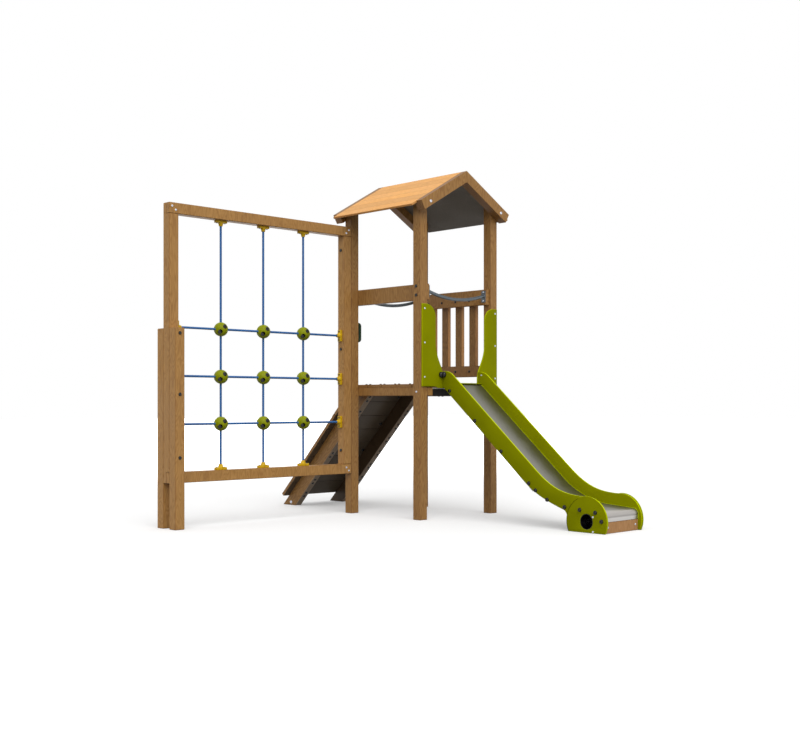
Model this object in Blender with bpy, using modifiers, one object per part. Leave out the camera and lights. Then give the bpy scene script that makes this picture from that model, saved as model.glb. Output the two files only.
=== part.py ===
# Play tower: a roofed timber platform with a climbing ramp, a rope net and a slide.
# Metres, +Z up. The origin is the middle of the front post's foot, on the ground.
# The slide runs to +X, the ramp to -X and the net to -Y. "Front" is the -Y side.

import bpy
import bmesh
from math import atan2, cos, degrees, pi, radians, sin, sqrt, tan
from mathutils import Matrix, Vector

# Fits
gap = 0.0003
edge_round = 0.004
board_round = 0.0015

# Tower posts
post_size = 0.090
post_spacing = 0.920

# Platform
deck_top = 1.204
plank_thick = 0.030
plank_width = 0.190
plank_joint = 0.0065
plank_count = 5
joint_web = 0.004
deck_side_clearance = 0.003
rim_width = 0.070
rim_depth = 0.076

# Rails, barrier slats and safety bars
rail_thick = 0.045
rail_set_back = 0.018
upper_rail_lift = 0.745
upper_rail_height = 0.145
lower_rail_lift = 0.074
lower_rail_height = 0.105
slat_count = 4
slat_width = 0.090
slat_thick = 0.036
slat_pitch = 0.182
slat_set_in = 0.012
bar_radius = 0.015
bar_lift = 0.081
bar_sag = 0.053
bar_lead = 0.012
flange_width = 0.050
flange_height = 0.110
flange_thick = 0.006
flange_drop = 0.002

# Hand grips
grip_lift = 0.402
grip_height = 0.186
grip_reach = 0.065
grip_thick = 0.030
grip_plate = 0.018
grip_bar = 0.028
grip_chamfer = 0.032

# Roof
roof_pitch = radians(30)
ridge_height = 3.134
rafter_size = 0.090
rafter_run = 0.576
eave_run = 0.632
roof_thick = 0.018
rebate_width = 0.025

# Net frame
net_span = 1.870
net_bottom = 0.374
net_top = 2.677
foot_post_height = 1.648
rope_radius = 0.010
rope_cross_gap = 0.0015
rope_pitch = 0.445
rope_count = 3
rope_heights = (0.857, 1.257, 1.660)
ball_radius = 0.0605
bracket_length = 0.108
bracket_width = 0.042
bracket_plate = 0.022
bracket_boss_length = 0.050
bracket_boss_radius = 0.025
bracket_tip_radius = 0.015

# Slide
slide_inner_width = 0.446
panel_thick = 0.015
panel_edge = 0.002
slide_pitch = radians(40)
slide_shoulder_lift = 0.114
chute_corner_run = 0.058
slide_shoulder_radius = 0.150
slide_side_width = 0.159
chute_cover = 0.113
chute_sheet = 0.003
chute_flange = 0.055
chute_top_radius = 0.060
chute_exit_height = 0.175
chute_lip_radius = 0.029
chute_lip_reach = 0.166
chute_clearance = 0.001
chute_tail_round = 0.006
chute_bend_run = 0.400
chute_bend_pull = 0.100
chute_flat_pull = 0.170
foot_x = 2.138
foot_height = 0.088
foot_radius = 0.2035
foot_plate_thick = 0.009
foot_hole_radius = 0.0625
foot_set_in = 0.005
heel_back = 0.2387
heel_height = 0.167
heel_pull = 0.040
heel_turn = 0.022
slide_top_bend_back = 0.531
slide_bottom_bend_back = 0.651
chute_bend_back = 0.571
end_board_thick = 0.043
end_board_height = 0.092
end_board_set_back = 0.001
threshold_length = 0.078
threshold_thick = 0.010
threshold_overlap = 0.010
hanger_width = 0.060
hanger_height = 0.064
hanger_plate = 0.0055
hanger_drop = 0.014
hanger_set_back = 0.005
hanger_edge = 0.001

# Entry panels
entry_inset = 0.016
entry_inner = 0.322
entry_drop = 0.024
entry_low_drop = 0.037
entry_lift = 0.707
entry_top_radius = 0.115
entry_flare_top_lift = 0.356
entry_flare_bottom_lift = 0.086
angle_leg = 0.047
angle_height = 0.048
angle_thick = 0.003
angle_cap_lift = 0.083
angle_cap_offset = 0.0235
angle_cap_radius = 0.0225
angle_cap_reach = 0.024

# Ramp
ramp_pitch = radians(45)
ramp_reach_back = 0.004
stringer_depth = 0.145
stringer_width = 0.070
stringer_clearance = 0.003
ramp_plank_thick = 0.0317
ramp_plank_pitch = 0.1925
ramp_plank_count = 8
ramp_plank_joint = 0.004
cleat_width = 0.045
cleat_height = 0.025
cleat_length = 0.700
cleat_first = 0.255
cleat_pitch = 0.3843
cleat_count = 4

# Derived places, from the middle of the tower
half_span = post_spacing / 2
outer = half_span + post_size / 2
inner = half_span - post_size / 2
entry_outer = outer - entry_inset
deck_under = deck_top - plank_thick
rim_bottom = deck_under - rim_depth
rim_inner = inner - rim_width
deck_pitch = plank_width + plank_joint
deck_end = (plank_count - 1) / 2 * deck_pitch + plank_width / 2
rail_inner = inner - rail_thick
rail_end = outer - rail_set_back
slide_half = slide_inner_width / 2
slide_outer = slide_half + panel_thick
entry_face = outer + panel_thick
roof_drop = tan(roof_pitch)
hanger_top = deck_under - hanger_drop
upper_rail_bottom = deck_top + upper_rail_lift
lower_rail_bottom = deck_top + lower_rail_lift
bar_end_height = upper_rail_bottom + bar_lift
grip_bottom = deck_top + grip_lift
chute_corner_x = outer + chute_corner_run
slide_shoulder_height = deck_top + slide_shoulder_lift
slide_top_bend = foot_x - slide_top_bend_back
slide_bottom_bend = foot_x - slide_bottom_bend_back
chute_bend = foot_x - chute_bend_back
chute_lip_x = foot_x + chute_lip_reach
entry_bottom = deck_top - entry_drop
entry_low_bottom = deck_top - entry_low_drop
entry_top = deck_top + entry_lift
entry_flare_top = deck_top + entry_flare_top_lift
entry_flare_bottom = deck_top + entry_flare_bottom_lift
angle_cap_height = deck_top + angle_cap_lift
ramp_depth = stringer_depth + gap + ramp_plank_thick
ramp_foot_x = outer + ramp_reach_back + (deck_top - ramp_depth / cos(ramp_pitch)) / tan(ramp_pitch)
net_inner_y = -(outer + post_size / 2)
net_outer_y = net_inner_y - net_span
rail_section_top = net_top - post_size
rail_section_bottom = net_bottom + post_size

# Colours as sRGB parts of one, with roughness and metallic value
finishes = {
    "timber": ((0.60, 0.43, 0.26), 0.65, 0.0),
    "roof_timber": ((0.93, 0.70, 0.43), 0.60, 0.0),
    "end_timber": ((0.68, 0.48, 0.31), 0.60, 0.0),
    "green_panel": ((0.49, 0.52, 0.02), 0.45, 0.0),
    "green_ball": ((0.47, 0.58, 0.08), 0.35, 0.0),
    "blue_rope": ((0.20, 0.42, 0.72), 0.80, 0.0),
    "dark_green_plastic": ((0.05, 0.13, 0.08), 0.40, 0.0),
    "black_plastic": ((0.05, 0.05, 0.06), 0.40, 0.0),
    "black_steel": ((0.06, 0.06, 0.06), 0.50, 1.0),
    "grey_steel": ((0.36, 0.40, 0.42), 0.40, 1.0),
    "stainless": ((0.72, 0.71, 0.70), 0.30, 1.0),
}

parts = None
guides = None
tower = None


def clear_scene():
    for item in list(bpy.data.objects):
        bpy.data.objects.remove(item, do_unlink=True)


def start_collections():
    global parts, guides, tower
    parts = bpy.data.collections.new("play_tower")
    guides = bpy.data.collections.new("cutters")
    bpy.context.scene.collection.children.link(parts)
    bpy.context.scene.collection.children.link(guides)
    tower = bpy.data.objects.new("tower_middle", None)
    tower.location = (-half_span, half_span, 0)
    parts.objects.link(tower)


def linear(value):
    return value / 12.92 if value <= 0.04045 else ((value + 0.055) / 1.055) ** 2.4


def material(name, finish):
    colour, roughness, metallic = finishes[finish]
    result = bpy.data.materials.new(name + "_" + finish)
    result.use_nodes = True
    shader = result.node_tree.nodes["Principled BSDF"]
    shader.inputs["Base Color"].default_value = [linear(c) for c in colour] + [1.0]
    shader.inputs["Roughness"].default_value = roughness
    shader.inputs["Metallic"].default_value = metallic
    return result


def round_edges(item, width, segments=1):
    rounding = item.modifiers.new("rounded_edges", 'BEVEL')
    rounding.width = width
    rounding.segments = segments
    rounding.limit_method = 'ANGLE'
    rounding.angle_limit = radians(35)


def add_part(name, mesh, finish, bevel=0.0, segments=1, smooth=False, parent=None):
    mesh.name = name
    part = bpy.data.objects.new(name, mesh)
    parts.objects.link(part)
    part.parent = parent or tower
    part.data.materials.clear()
    part.data.materials.append(material(name, finish))
    if bevel:
        round_edges(part, bevel, segments)
    if smooth:
        mesh.shade_smooth()
        mesh.set_sharp_from_angle(angle=radians(35))
    return part


def mesh_from(bm):
    mesh = bpy.data.meshes.new("shape")
    bm.to_mesh(mesh)
    bm.free()
    return mesh


def temporary(mesh, cutter=False):
    item = bpy.data.objects.new("working_shape", mesh)
    guides.objects.link(item)
    if cutter:
        item.hide_render = True
        item.display_type = 'WIRE'
    return item


def add_box(bm, low, high):
    middle = [(a + b) / 2 for a, b in zip(low, high)]
    size = [b - a for a, b in zip(low, high)]
    matrix = Matrix.Translation(middle) @ Matrix.Diagonal(size + [1.0])
    bmesh.ops.create_cube(bm, size=1.0, matrix=matrix)


def boxes_mesh(boxes):
    bm = bmesh.new()
    for low, high in boxes:
        add_box(bm, low, high)
    return mesh_from(bm)


def arc(middle, radius, start, end, steps):
    """Points on a circle, angles in degrees."""
    points = []
    for step in range(steps + 1):
        angle = radians(start + (end - start) * step / steps)
        points.append((middle[0] + radius * cos(angle), middle[1] + radius * sin(angle)))
    return points


def blend(start, start_pull, end_pull, end, steps):
    """Points on a Bezier curve between two places, without the first one."""
    points = []
    for step in range(1, steps + 1):
        t = step / steps
        weights = ((1 - t) ** 3, 3 * t * (1 - t) ** 2, 3 * t * t * (1 - t), t ** 3)
        corners = (start, start_pull, end_pull, end)
        points.append(tuple(sum(w * c[i] for w, c in zip(weights, corners)) for i in (0, 1)))
    return points


def outline_mesh(loops, thickness, plane, start):
    """A flat outline in the XZ or YZ plane, thickened from start along the third axis."""
    curve = bpy.data.curves.new("outline", 'CURVE')
    curve.dimensions = '2D'
    curve.fill_mode = 'BOTH'
    curve.extrude = thickness / 2
    for loop in loops:
        spline = curve.splines.new('POLY')
        spline.points.add(len(loop) - 1)
        spline.use_cyclic_u = True
        for point, (u, v) in zip(spline.points, loop):
            point.co = (u, v, 0, 1)
    item = bpy.data.objects.new("outline", curve)
    guides.objects.link(item)
    middle = start + thickness / 2
    if plane == "XZ":
        item.matrix_world = Matrix.Translation((0, middle, 0)) @ Matrix.Rotation(pi / 2, 4, 'X')
    else:
        turn = Matrix.Rotation(pi / 2, 4, 'Z') @ Matrix.Rotation(pi / 2, 4, 'X')
        item.matrix_world = Matrix.Translation((middle, 0, 0)) @ turn
    mesh = solid_from_curve(item)
    bm = bmesh.new()
    bm.from_mesh(mesh)
    bmesh.ops.dissolve_limit(bm, angle_limit=radians(0.5), verts=bm.verts, edges=bm.edges)
    bm.to_mesh(mesh)
    bm.free()
    return mesh


def solid_from_curve(item):
    """The curve's mesh in place, its caps welded and its faces turned out."""
    bpy.context.view_layer.update()
    graph = bpy.context.evaluated_depsgraph_get()
    mesh = bpy.data.meshes.new_from_object(item.evaluated_get(graph))
    mesh.transform(item.matrix_world)
    bm = bmesh.new()
    bm.from_mesh(mesh)
    bmesh.ops.remove_doubles(bm, verts=bm.verts, dist=0.00005)
    bmesh.ops.recalc_face_normals(bm, faces=bm.faces)
    bm.to_mesh(mesh)
    bm.free()
    bpy.data.objects.remove(item, do_unlink=True)
    return mesh


def tube_mesh(points, radius, sides=2):
    curve = bpy.data.curves.new("tube", 'CURVE')
    curve.dimensions = '3D'
    curve.bevel_depth = radius
    curve.bevel_resolution = sides
    curve.use_fill_caps = True
    spline = curve.splines.new('POLY')
    spline.points.add(len(points) - 1)
    for point, place in zip(spline.points, points):
        point.co = (*place, 1)
    item = bpy.data.objects.new("tube", curve)
    guides.objects.link(item)
    return solid_from_curve(item)


def combined(base, others, operation, bevel=0.0):
    """The base mesh, its edges rounded, with the other meshes cut from it or joined to it."""
    target = temporary(base)
    if bevel:
        round_edges(target, bevel)
    tools = [temporary(other, cutter=True) for other in others]
    for tool in tools:
        step = target.modifiers.new("step", 'BOOLEAN')
        step.operation = operation
        step.solver = 'EXACT'
        step.object = tool
    bpy.context.view_layer.update()
    graph = bpy.context.evaluated_depsgraph_get()
    mesh = bpy.data.meshes.new_from_object(target.evaluated_get(graph))
    for item in tools + [target]:
        bpy.data.objects.remove(item, do_unlink=True)
    return mesh


def signs():
    return ((1, -1), (-1, -1), (1, 1), (-1, 1))


def roof_under(y):
    """Height of the roof boards' underside at a distance from the ridge."""
    return ridge_height - roof_thick / cos(roof_pitch) - abs(y) * roof_drop


def make_tower_posts():
    names = ("tower_post_front", "tower_post_left", "tower_post_right", "tower_post_rear")
    for name, (side_x, side_y) in zip(names, signs()):
        y_in, y_out = side_y * inner, side_y * outer
        top_clearance = gap / cos(roof_pitch)
        loop = [(y_in, 0), (y_out, 0), (y_out, roof_under(y_out) - top_clearance),
                (y_in, roof_under(y_in) - top_clearance)]
        mesh = outline_mesh([loop], post_size, "YZ", side_x * half_span - post_size / 2)
        add_part(name, mesh, "timber", bevel=edge_round)


def make_platform():
    # The rims' ends on the ramp side are cut away under the ramp's boards.
    ramp_line = -ramp_foot_x + deck_under - (stringer_depth + gap) / cos(ramp_pitch)
    cut = max(edge_round, ramp_line + outer + 0.002)
    top = deck_under - gap
    loop = [(-outer, rim_bottom), (outer, rim_bottom), (outer, top), (-outer + cut, top), (-outer, top - cut)]
    for name, side in (("platform_rim_front", -1), ("platform_rim_rear", 1)):
        start = side * (inner - gap) if side < 0 else rim_inner
        mesh = outline_mesh([loop], rim_width - gap, "XZ", start)
        add_part(name, mesh, "timber", bevel=edge_round)

    deck_half = inner - deck_side_clearance
    loop = board_row(-deck_end, plank_count, plank_width, deck_pitch, deck_under, plank_thick)
    mesh = outline_mesh([loop], 2 * deck_half, "XZ", -deck_half)
    add_part("deck_planks", mesh, "timber", bevel=board_round)


def board_row(start, count, width, pitch, bottom, thick):
    """The end view of boards side by side, held together by a thin web in each joint."""
    top = bottom + thick
    web_low = bottom + (thick - joint_web) / 2
    web_high = web_low + joint_web
    lower, upper = [], []
    for number in range(count):
        low = start + number * pitch
        high = low + width
        lower += [(low, bottom), (high, bottom)]
        upper += [(low, top), (high, top)]
        if number < count - 1:
            lower += [(high, web_low), (high + pitch - width, web_low)]
            upper += [(high, web_high), (high + pitch - width, web_high)]
    return lower + upper[::-1]


def make_rails():
    for name, side in (("upper_rail_front", -1), ("upper_rail_rear", 1)):
        y_range = sorted((side * rail_inner, side * (inner - gap)))
        board = ((-rail_end, y_range[0], upper_rail_bottom),
                 (rail_end, y_range[1], upper_rail_bottom + upper_rail_height))
        add_part(name, boxes_mesh([board]), "timber", bevel=edge_round)
    board = ((-rail_end, rail_inner, lower_rail_bottom),
             (rail_end, inner - gap, lower_rail_bottom + lower_rail_height))
    add_part("lower_rail_rear", boxes_mesh([board]), "timber", bevel=edge_round)

    for number in range(slat_count):
        middle = (number - (slat_count - 1) / 2) * slat_pitch
        slat = ((middle - slat_width / 2, inner, lower_rail_bottom + slat_set_in),
                (middle + slat_width / 2, inner + slat_thick,
                 upper_rail_bottom + upper_rail_height - slat_set_in))
        add_part("barrier_slat_%d" % (number + 1), boxes_mesh([slat]), "timber", bevel=edge_round)


def make_safety_bars():
    flange_face = rail_inner - gap
    end_y = flange_face - flange_thick / 2
    reach = end_y - bar_lead
    for name, side in (("safety_bar_slide_side", 1), ("safety_bar_ramp_side", -1)):
        x = side * half_span
        points = [(x, -end_y, bar_end_height)]
        steps = 12
        for step in range(steps + 1):
            y = reach * (2 * step / steps - 1)
            points.append((x, y, bar_end_height - bar_sag * (1 - (y / reach) ** 2)))
        points.append((x, end_y, bar_end_height))
        low = bar_end_height - flange_drop - flange_height / 2
        flanges = []
        for end in (-1, 1):
            y_range = sorted((end * flange_face, end * (flange_face - flange_thick)))
            flange = ((x - flange_width / 2, y_range[0], low),
                      (x + flange_width / 2, y_range[1], low + flange_height))
            flanges.append(boxes_mesh([flange]))
        mesh = combined(tube_mesh(points, bar_radius), flanges, 'UNION')
        add_part(name, mesh, "grey_steel", smooth=True)


def make_hand_grips():
    top = grip_bottom + grip_height
    for name, side in (("hand_grip_front", -1), ("hand_grip_rear", 1)):
        face = side * (inner - gap)

        def at(depth, height):
            return (face - side * depth, height)

        outside = [at(0, grip_bottom), at(grip_reach - grip_chamfer, grip_bottom),
                   at(grip_reach, grip_bottom + grip_chamfer), at(grip_reach, top - grip_chamfer),
                   at(grip_reach - grip_chamfer, top), at(0, top)]
        reach = grip_reach - grip_bar
        corner = grip_chamfer * 0.35
        inside = [at(grip_plate, grip_bottom + grip_bar), at(reach - corner, grip_bottom + grip_bar),
                  at(reach, grip_bottom + grip_bar + corner), at(reach, top - grip_bar - corner),
                  at(reach - corner, top - grip_bar), at(grip_plate, top - grip_bar)]
        mesh = outline_mesh([outside, inside], grip_thick, "YZ", -half_span - grip_thick / 2)
        add_part(name, mesh, "dark_green_plastic", bevel=0.006, segments=2)


def slope_point(run, depth):
    """A place on the roof in YZ: run along y from the ridge, depth square to the slope."""
    return (run - depth * sin(roof_pitch), ridge_height - run * roof_drop - depth * cos(roof_pitch))


def make_roof():
    def side_loop(run, depth, mitre, side):
        high = ridge_height - mitre * roof_drop
        low = high - depth / cos(roof_pitch)
        loop = [(mitre, high), (mitre, low), slope_point(run, depth), slope_point(run, 0)]
        return [(side * y, z) for y, z in loop]

    for end_name, end in (("slide_side", 1), ("ramp_side", -1)):
        for side_name, side in (("front", -1), ("rear", 1)):
            start = outer + gap if end > 0 else -(outer + gap) - rafter_size
            body = outline_mesh([side_loop(rafter_run, rafter_size, gap / 2, side)], rafter_size, "YZ", start)
            # The rebate holds the edge of the roof boards.
            cut_start = outer - rebate_width if end > 0 else -(outer + rebate_width + gap)
            cutter = outline_mesh([side_loop(eave_run * 1.2, roof_thick + gap, -0.05, side)],
                                  2 * rebate_width + gap, "YZ", cut_start)
            lifted = cutter.copy()
            lifted.transform(Matrix.Translation((0, 0, roof_thick / 2)))
            mesh = combined(body, [cutter, lifted], 'DIFFERENCE')
            add_part("rafter_%s_%s" % (end_name, side_name), mesh, "timber", bevel=edge_round / 2)
    for side_name, side in (("front", -1), ("rear", 1)):
        width = 2 * (outer + rebate_width)
        loop = side_loop(eave_run, roof_thick, gap / 2, side)
        mesh = outline_mesh([loop], width, "YZ", -width / 2)
        add_part("roof_boards_" + side_name, mesh, "roof_timber", bevel=panel_edge)


def make_net_frame():
    half = post_size / 2
    left, right = -half_span - half, -half_span + half
    # At each corner the rail keeps its front half and the post its back half.
    for name, y in (("net_post_inner", net_inner_y), ("net_post_outer", net_outer_y)):
        low, high = y - half, y + half
        if name == "net_post_inner":
            high -= gap
        post = boxes_mesh([((left, low, net_bottom), (right, high, net_top))])
        laps = []
        for bottom, top in ((net_bottom - half, rail_section_bottom + gap),
                            (rail_section_top - gap, net_top + half)):
            lap = ((-half_span - gap, low - half, bottom), (right + half, high + half, top))
            laps.append(boxes_mesh([lap]))
        add_part(name, combined(post, laps, 'DIFFERENCE'), "timber", bevel=edge_round)
    for name, bottom in (("net_rail_top", rail_section_top), ("net_rail_bottom", net_bottom)):
        rail = boxes_mesh([((left, net_outer_y - half, bottom),
                            (right, net_inner_y + half - gap, bottom + post_size))])
        laps = []
        for y in (net_inner_y, net_outer_y):
            reach = 2 * half if y > net_outer_y else half + gap
            back = half + gap if y > net_outer_y else 2 * half
            laps.append(boxes_mesh([((left - half, y - back, bottom - half),
                                     (-half_span, y + reach, bottom + post_size + half))]))
        add_part(name, combined(rail, laps, 'DIFFERENCE'), "timber", bevel=edge_round)

    for name, side in (("net_foot_post_slide_side", 1), ("net_foot_post_ramp_side", -1)):
        near, far = -half_span + side * (half + gap), -half_span + side * (half + post_size)
        x_range = sorted((near, far))
        foot = ((x_range[0], net_outer_y - half, 0), (x_range[1], net_outer_y + half, foot_post_height))
        add_part(name, boxes_mesh([foot]), "timber", bevel=edge_round)


def rope_places():
    """Y of each upright rope and Z of each level rope."""
    start = net_inner_y - post_size / 2
    return [start - rope_pitch * (number + 1) for number in range(rope_count)], rope_heights


def rope_lines():
    """Middle of the back ropes, which run upright, and of the front ropes, which run level."""
    return -half_span - rope_radius - rope_cross_gap, -half_span + rope_radius + rope_cross_gap


def bracket_mesh(place, along, up):
    """An end bracket on a face: a plate long in one direction, and a tapered boss on the rope."""
    plate = boxes_mesh([((-bracket_length / 2, -bracket_width / 2, 0),
                         (bracket_length / 2, bracket_width / 2, bracket_plate))])
    bottom = bracket_plate / 2
    bm = bmesh.new()
    bmesh.ops.create_cone(bm, cap_ends=True, segments=16, radius1=bracket_boss_radius,
                          radius2=bracket_tip_radius, depth=bracket_boss_length - bottom,
                          matrix=Matrix.Translation((0, 0, (bracket_boss_length + bottom) / 2)))
    mesh = combined(plate, [mesh_from(bm)], 'UNION')
    side = Vector(up).cross(Vector(along))
    turn = Matrix((along, side, up)).transposed().to_4x4()
    mesh.transform(Matrix.Translation(Vector(place) + Vector(up) * gap) @ turn)
    return mesh


def make_ropes():
    uprights, levels = rope_places()
    back_x, front_x = rope_lines()
    half = post_size / 2
    inset = bracket_plate / 2
    for number, y in enumerate(uprights):
        low, high = (back_x, y, rail_section_bottom), (back_x, y, rail_section_top)
        rope = tube_mesh([(back_x, y, low[2] + inset), (back_x, y, high[2] - inset)], rope_radius)
        ends = [bracket_mesh(low, (0, 1, 0), (0, 0, 1)), bracket_mesh(high, (0, 1, 0), (0, 0, -1))]
        add_part("rope_upright_%d" % (number + 1), combined(rope, ends, 'UNION'), "blue_rope", smooth=True)
    for number, z in enumerate(levels):
        low, high = (front_x, net_outer_y + half, z), (front_x, net_inner_y - half, z)
        rope = tube_mesh([(front_x, low[1] + inset, z), (front_x, high[1] - inset, z)], rope_radius)
        ends = [bracket_mesh(low, (0, 0, 1), (0, 1, 0)), bracket_mesh(high, (0, 0, 1), (0, -1, 0))]
        add_part("rope_level_%d" % (number + 1), combined(rope, ends, 'UNION'), "blue_rope", smooth=True)


def make_rope_balls():
    """A clamp ball on each crossing, bored for the rope behind and the rope in front."""
    bm = bmesh.new()
    bmesh.ops.create_uvsphere(bm, u_segments=16, v_segments=10, radius=ball_radius,
                              matrix=Matrix.Rotation(pi / 2, 4, 'Y'))
    body = mesh_from(bm)
    back_x, front_x = rope_lines()
    bores = []
    # A twelve-sided bore clears the round rope at the middle of its flats.
    bore = (rope_radius + gap) / cos(pi / 12)
    for x, turn in ((back_x, Matrix.Identity(4)), (front_x, Matrix.Rotation(pi / 2, 4, 'X'))):
        bm = bmesh.new()
        place = Matrix.Translation((x + half_span, 0, 0)) @ turn
        bmesh.ops.create_cone(bm, cap_ends=True, segments=12, radius1=bore, radius2=bore,
                              depth=3 * ball_radius, matrix=place)
        bores.append(mesh_from(bm))
    mesh = combined(body, bores, 'DIFFERENCE')
    uprights, levels = rope_places()
    for column, y in enumerate(uprights):
        for row, z in enumerate(levels):
            ball = mesh.copy()
            name = "rope_ball_%d_%d" % (column + 1, row + 1)
            part = add_part(name, ball, "green_ball", smooth=True)
            part.location = (-half_span, y, z)


def slope_line(height_at_zero, x):
    return height_at_zero - x * tan(slide_pitch)


def side_top_line():
    """Height at x = 0 of the straight upper edge of the slide's sides, and of the lower one."""
    upper = chute_surface_line() + chute_cover / cos(slide_pitch)
    return upper, upper - slide_side_width / cos(slide_pitch)


def chute_surface_line():
    """Height at x = 0 of the straight sliding surface, which leaves the deck's level at its corner."""
    return deck_top + chute_corner_x * tan(slide_pitch)


def slide_side_loop():
    upper, lower = side_top_line()
    pitch = degrees(slide_pitch)
    start_x = entry_face + gap
    corner_x = (upper - slide_shoulder_height) / tan(slide_pitch)
    tangent = slide_shoulder_radius * tan(slide_pitch / 2)
    middle = (corner_x - tangent, slide_shoulder_height - slide_shoulder_radius)
    foot_end = foot_radius - foot_set_in
    loop = [(start_x, slope_line(lower, start_x)), (start_x, slide_shoulder_height)]
    loop += arc(middle, slide_shoulder_radius, 90, 90 - pitch, 5)
    top_start = (slide_top_bend, slope_line(upper, slide_top_bend))
    top_end = (foot_x, foot_height + foot_end)
    pull = (top_end[0] - top_start[0]) * 0.433
    loop.append(top_start)
    loop += blend(top_start, (top_start[0] + pull * cos(slide_pitch), top_start[1] - pull * sin(slide_pitch)),
                  (top_end[0] - pull, top_end[1]), top_end, 9)
    floor_angle = degrees(atan2(-foot_height, sqrt(foot_end ** 2 - foot_height ** 2)))
    loop += arc((foot_x, foot_height), foot_end, 90, floor_angle, 12)[1:]
    heel_start = 178
    loop += arc((foot_x, foot_height), foot_end, 180 - floor_angle, heel_start, 4)
    # A rounded heel leads from the back of the foot into the slide's underside.
    foot_back = loop[-1]
    heel = (foot_x - heel_back, heel_height)
    loop += blend(foot_back, (foot_back[0] - heel_pull * 0.1, foot_back[1] + heel_pull),
                  (heel[0] + heel_turn, heel[1] - heel_turn * 0.45), heel, 5)
    low_start = (slide_bottom_bend, slope_line(lower, slide_bottom_bend))
    reach = heel[0] - low_start[0]
    loop += blend(heel, (heel[0] - reach * 0.32, heel[1] + reach * 0.104),
                  (low_start[0] + reach * 0.29, low_start[1] - reach * 0.29 * tan(slide_pitch)), low_start, 9)
    return loop


def foot_plate_loop():
    floor_angle = degrees(atan2(-foot_height, sqrt(foot_radius ** 2 - foot_height ** 2)))
    return arc((foot_x, foot_height), foot_radius, floor_angle, 180 - floor_angle, 28)


def foot_hole_loop():
    return arc((foot_x, foot_height), foot_hole_radius, 0, 360, 16)[:-1]


def chute_line():
    """The sliding surface in XZ, from its tail behind the threshold down to the lip."""
    surface = chute_surface_line()
    start_x = deck_end + chute_clearance
    tangent = chute_top_radius * tan(slide_pitch / 2)
    tail = (start_x + chute_tail_round, deck_top - chute_tail_round)
    points = [(start_x, hanger_top + hanger_plate + gap), (start_x, tail[1])]
    points += arc(tail, chute_tail_round, 135, 90, 1)
    points += arc((chute_corner_x - tangent, deck_top - chute_top_radius), chute_top_radius,
                  90, 90 - degrees(slide_pitch), 5)
    bend = (chute_bend, slope_line(surface, chute_bend))
    flat_slope = radians(4)
    flat_end = (chute_lip_x - chute_lip_radius, chute_exit_height)
    flat_start_x = chute_bend + chute_bend_run
    flat_start = (flat_start_x, chute_exit_height + (flat_end[0] - flat_start_x) * tan(flat_slope))
    points.append(bend)
    points += blend(bend, (bend[0] + chute_bend_pull, bend[1] - chute_bend_pull * tan(slide_pitch)),
                    (flat_start[0] - chute_flat_pull, flat_start[1] + chute_flat_pull * tan(flat_slope)),
                    flat_start, 8)
    points += arc((flat_end[0], flat_end[1] - chute_lip_radius), chute_lip_radius, 90, 0, 5)
    points.append((chute_lip_x, end_board_height + gap))
    return points


def make_chute():
    half = slide_half - gap
    line = chute_line()
    bm = bmesh.new()
    first = [bm.verts.new((x, -half, z)) for x, z in line]
    for low, high in zip(first, first[1:]):
        bm.edges.new((low, high))
    swept = bmesh.ops.extrude_edge_only(bm, edges=bm.edges[:])
    moved = [item for item in swept["geom"] if isinstance(item, bmesh.types.BMVert)]
    bmesh.ops.translate(bm, verts=moved, vec=(0, 2 * half, 0))
    # Both long edges turn down along the sloping part, where the side bolts hold them.
    slope = [edge for edge in bm.edges if edge.is_boundary and on_long_slope(edge)]
    turned = bmesh.ops.extrude_edge_only(bm, edges=slope)
    for vert in [item for item in turned["geom"] if isinstance(item, bmesh.types.BMVert)]:
        vert.co += Vector((-sin(slide_pitch) * chute_flange, 0, -cos(slide_pitch) * chute_flange))
    bmesh.ops.recalc_face_normals(bm, faces=bm.faces)
    top = max(bm.faces, key=lambda face: abs(face.normal.z) * face.calc_area())
    if top.normal.z < 0:
        bmesh.ops.reverse_faces(bm, faces=bm.faces)
    part = add_part("slide_chute", mesh_from(bm), "stainless")
    sheet = part.modifiers.new("sheet", 'SOLIDIFY')
    sheet.thickness = chute_sheet
    sheet.offset = -1
    sheet.use_even_offset = True


def on_long_slope(edge):
    a, b = (vert.co for vert in edge.verts)
    same_side = abs(a.y - b.y) < gap
    return same_side and min(a.x, b.x) > entry_face and max(a.x, b.x) < chute_bend + 0.001


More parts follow.
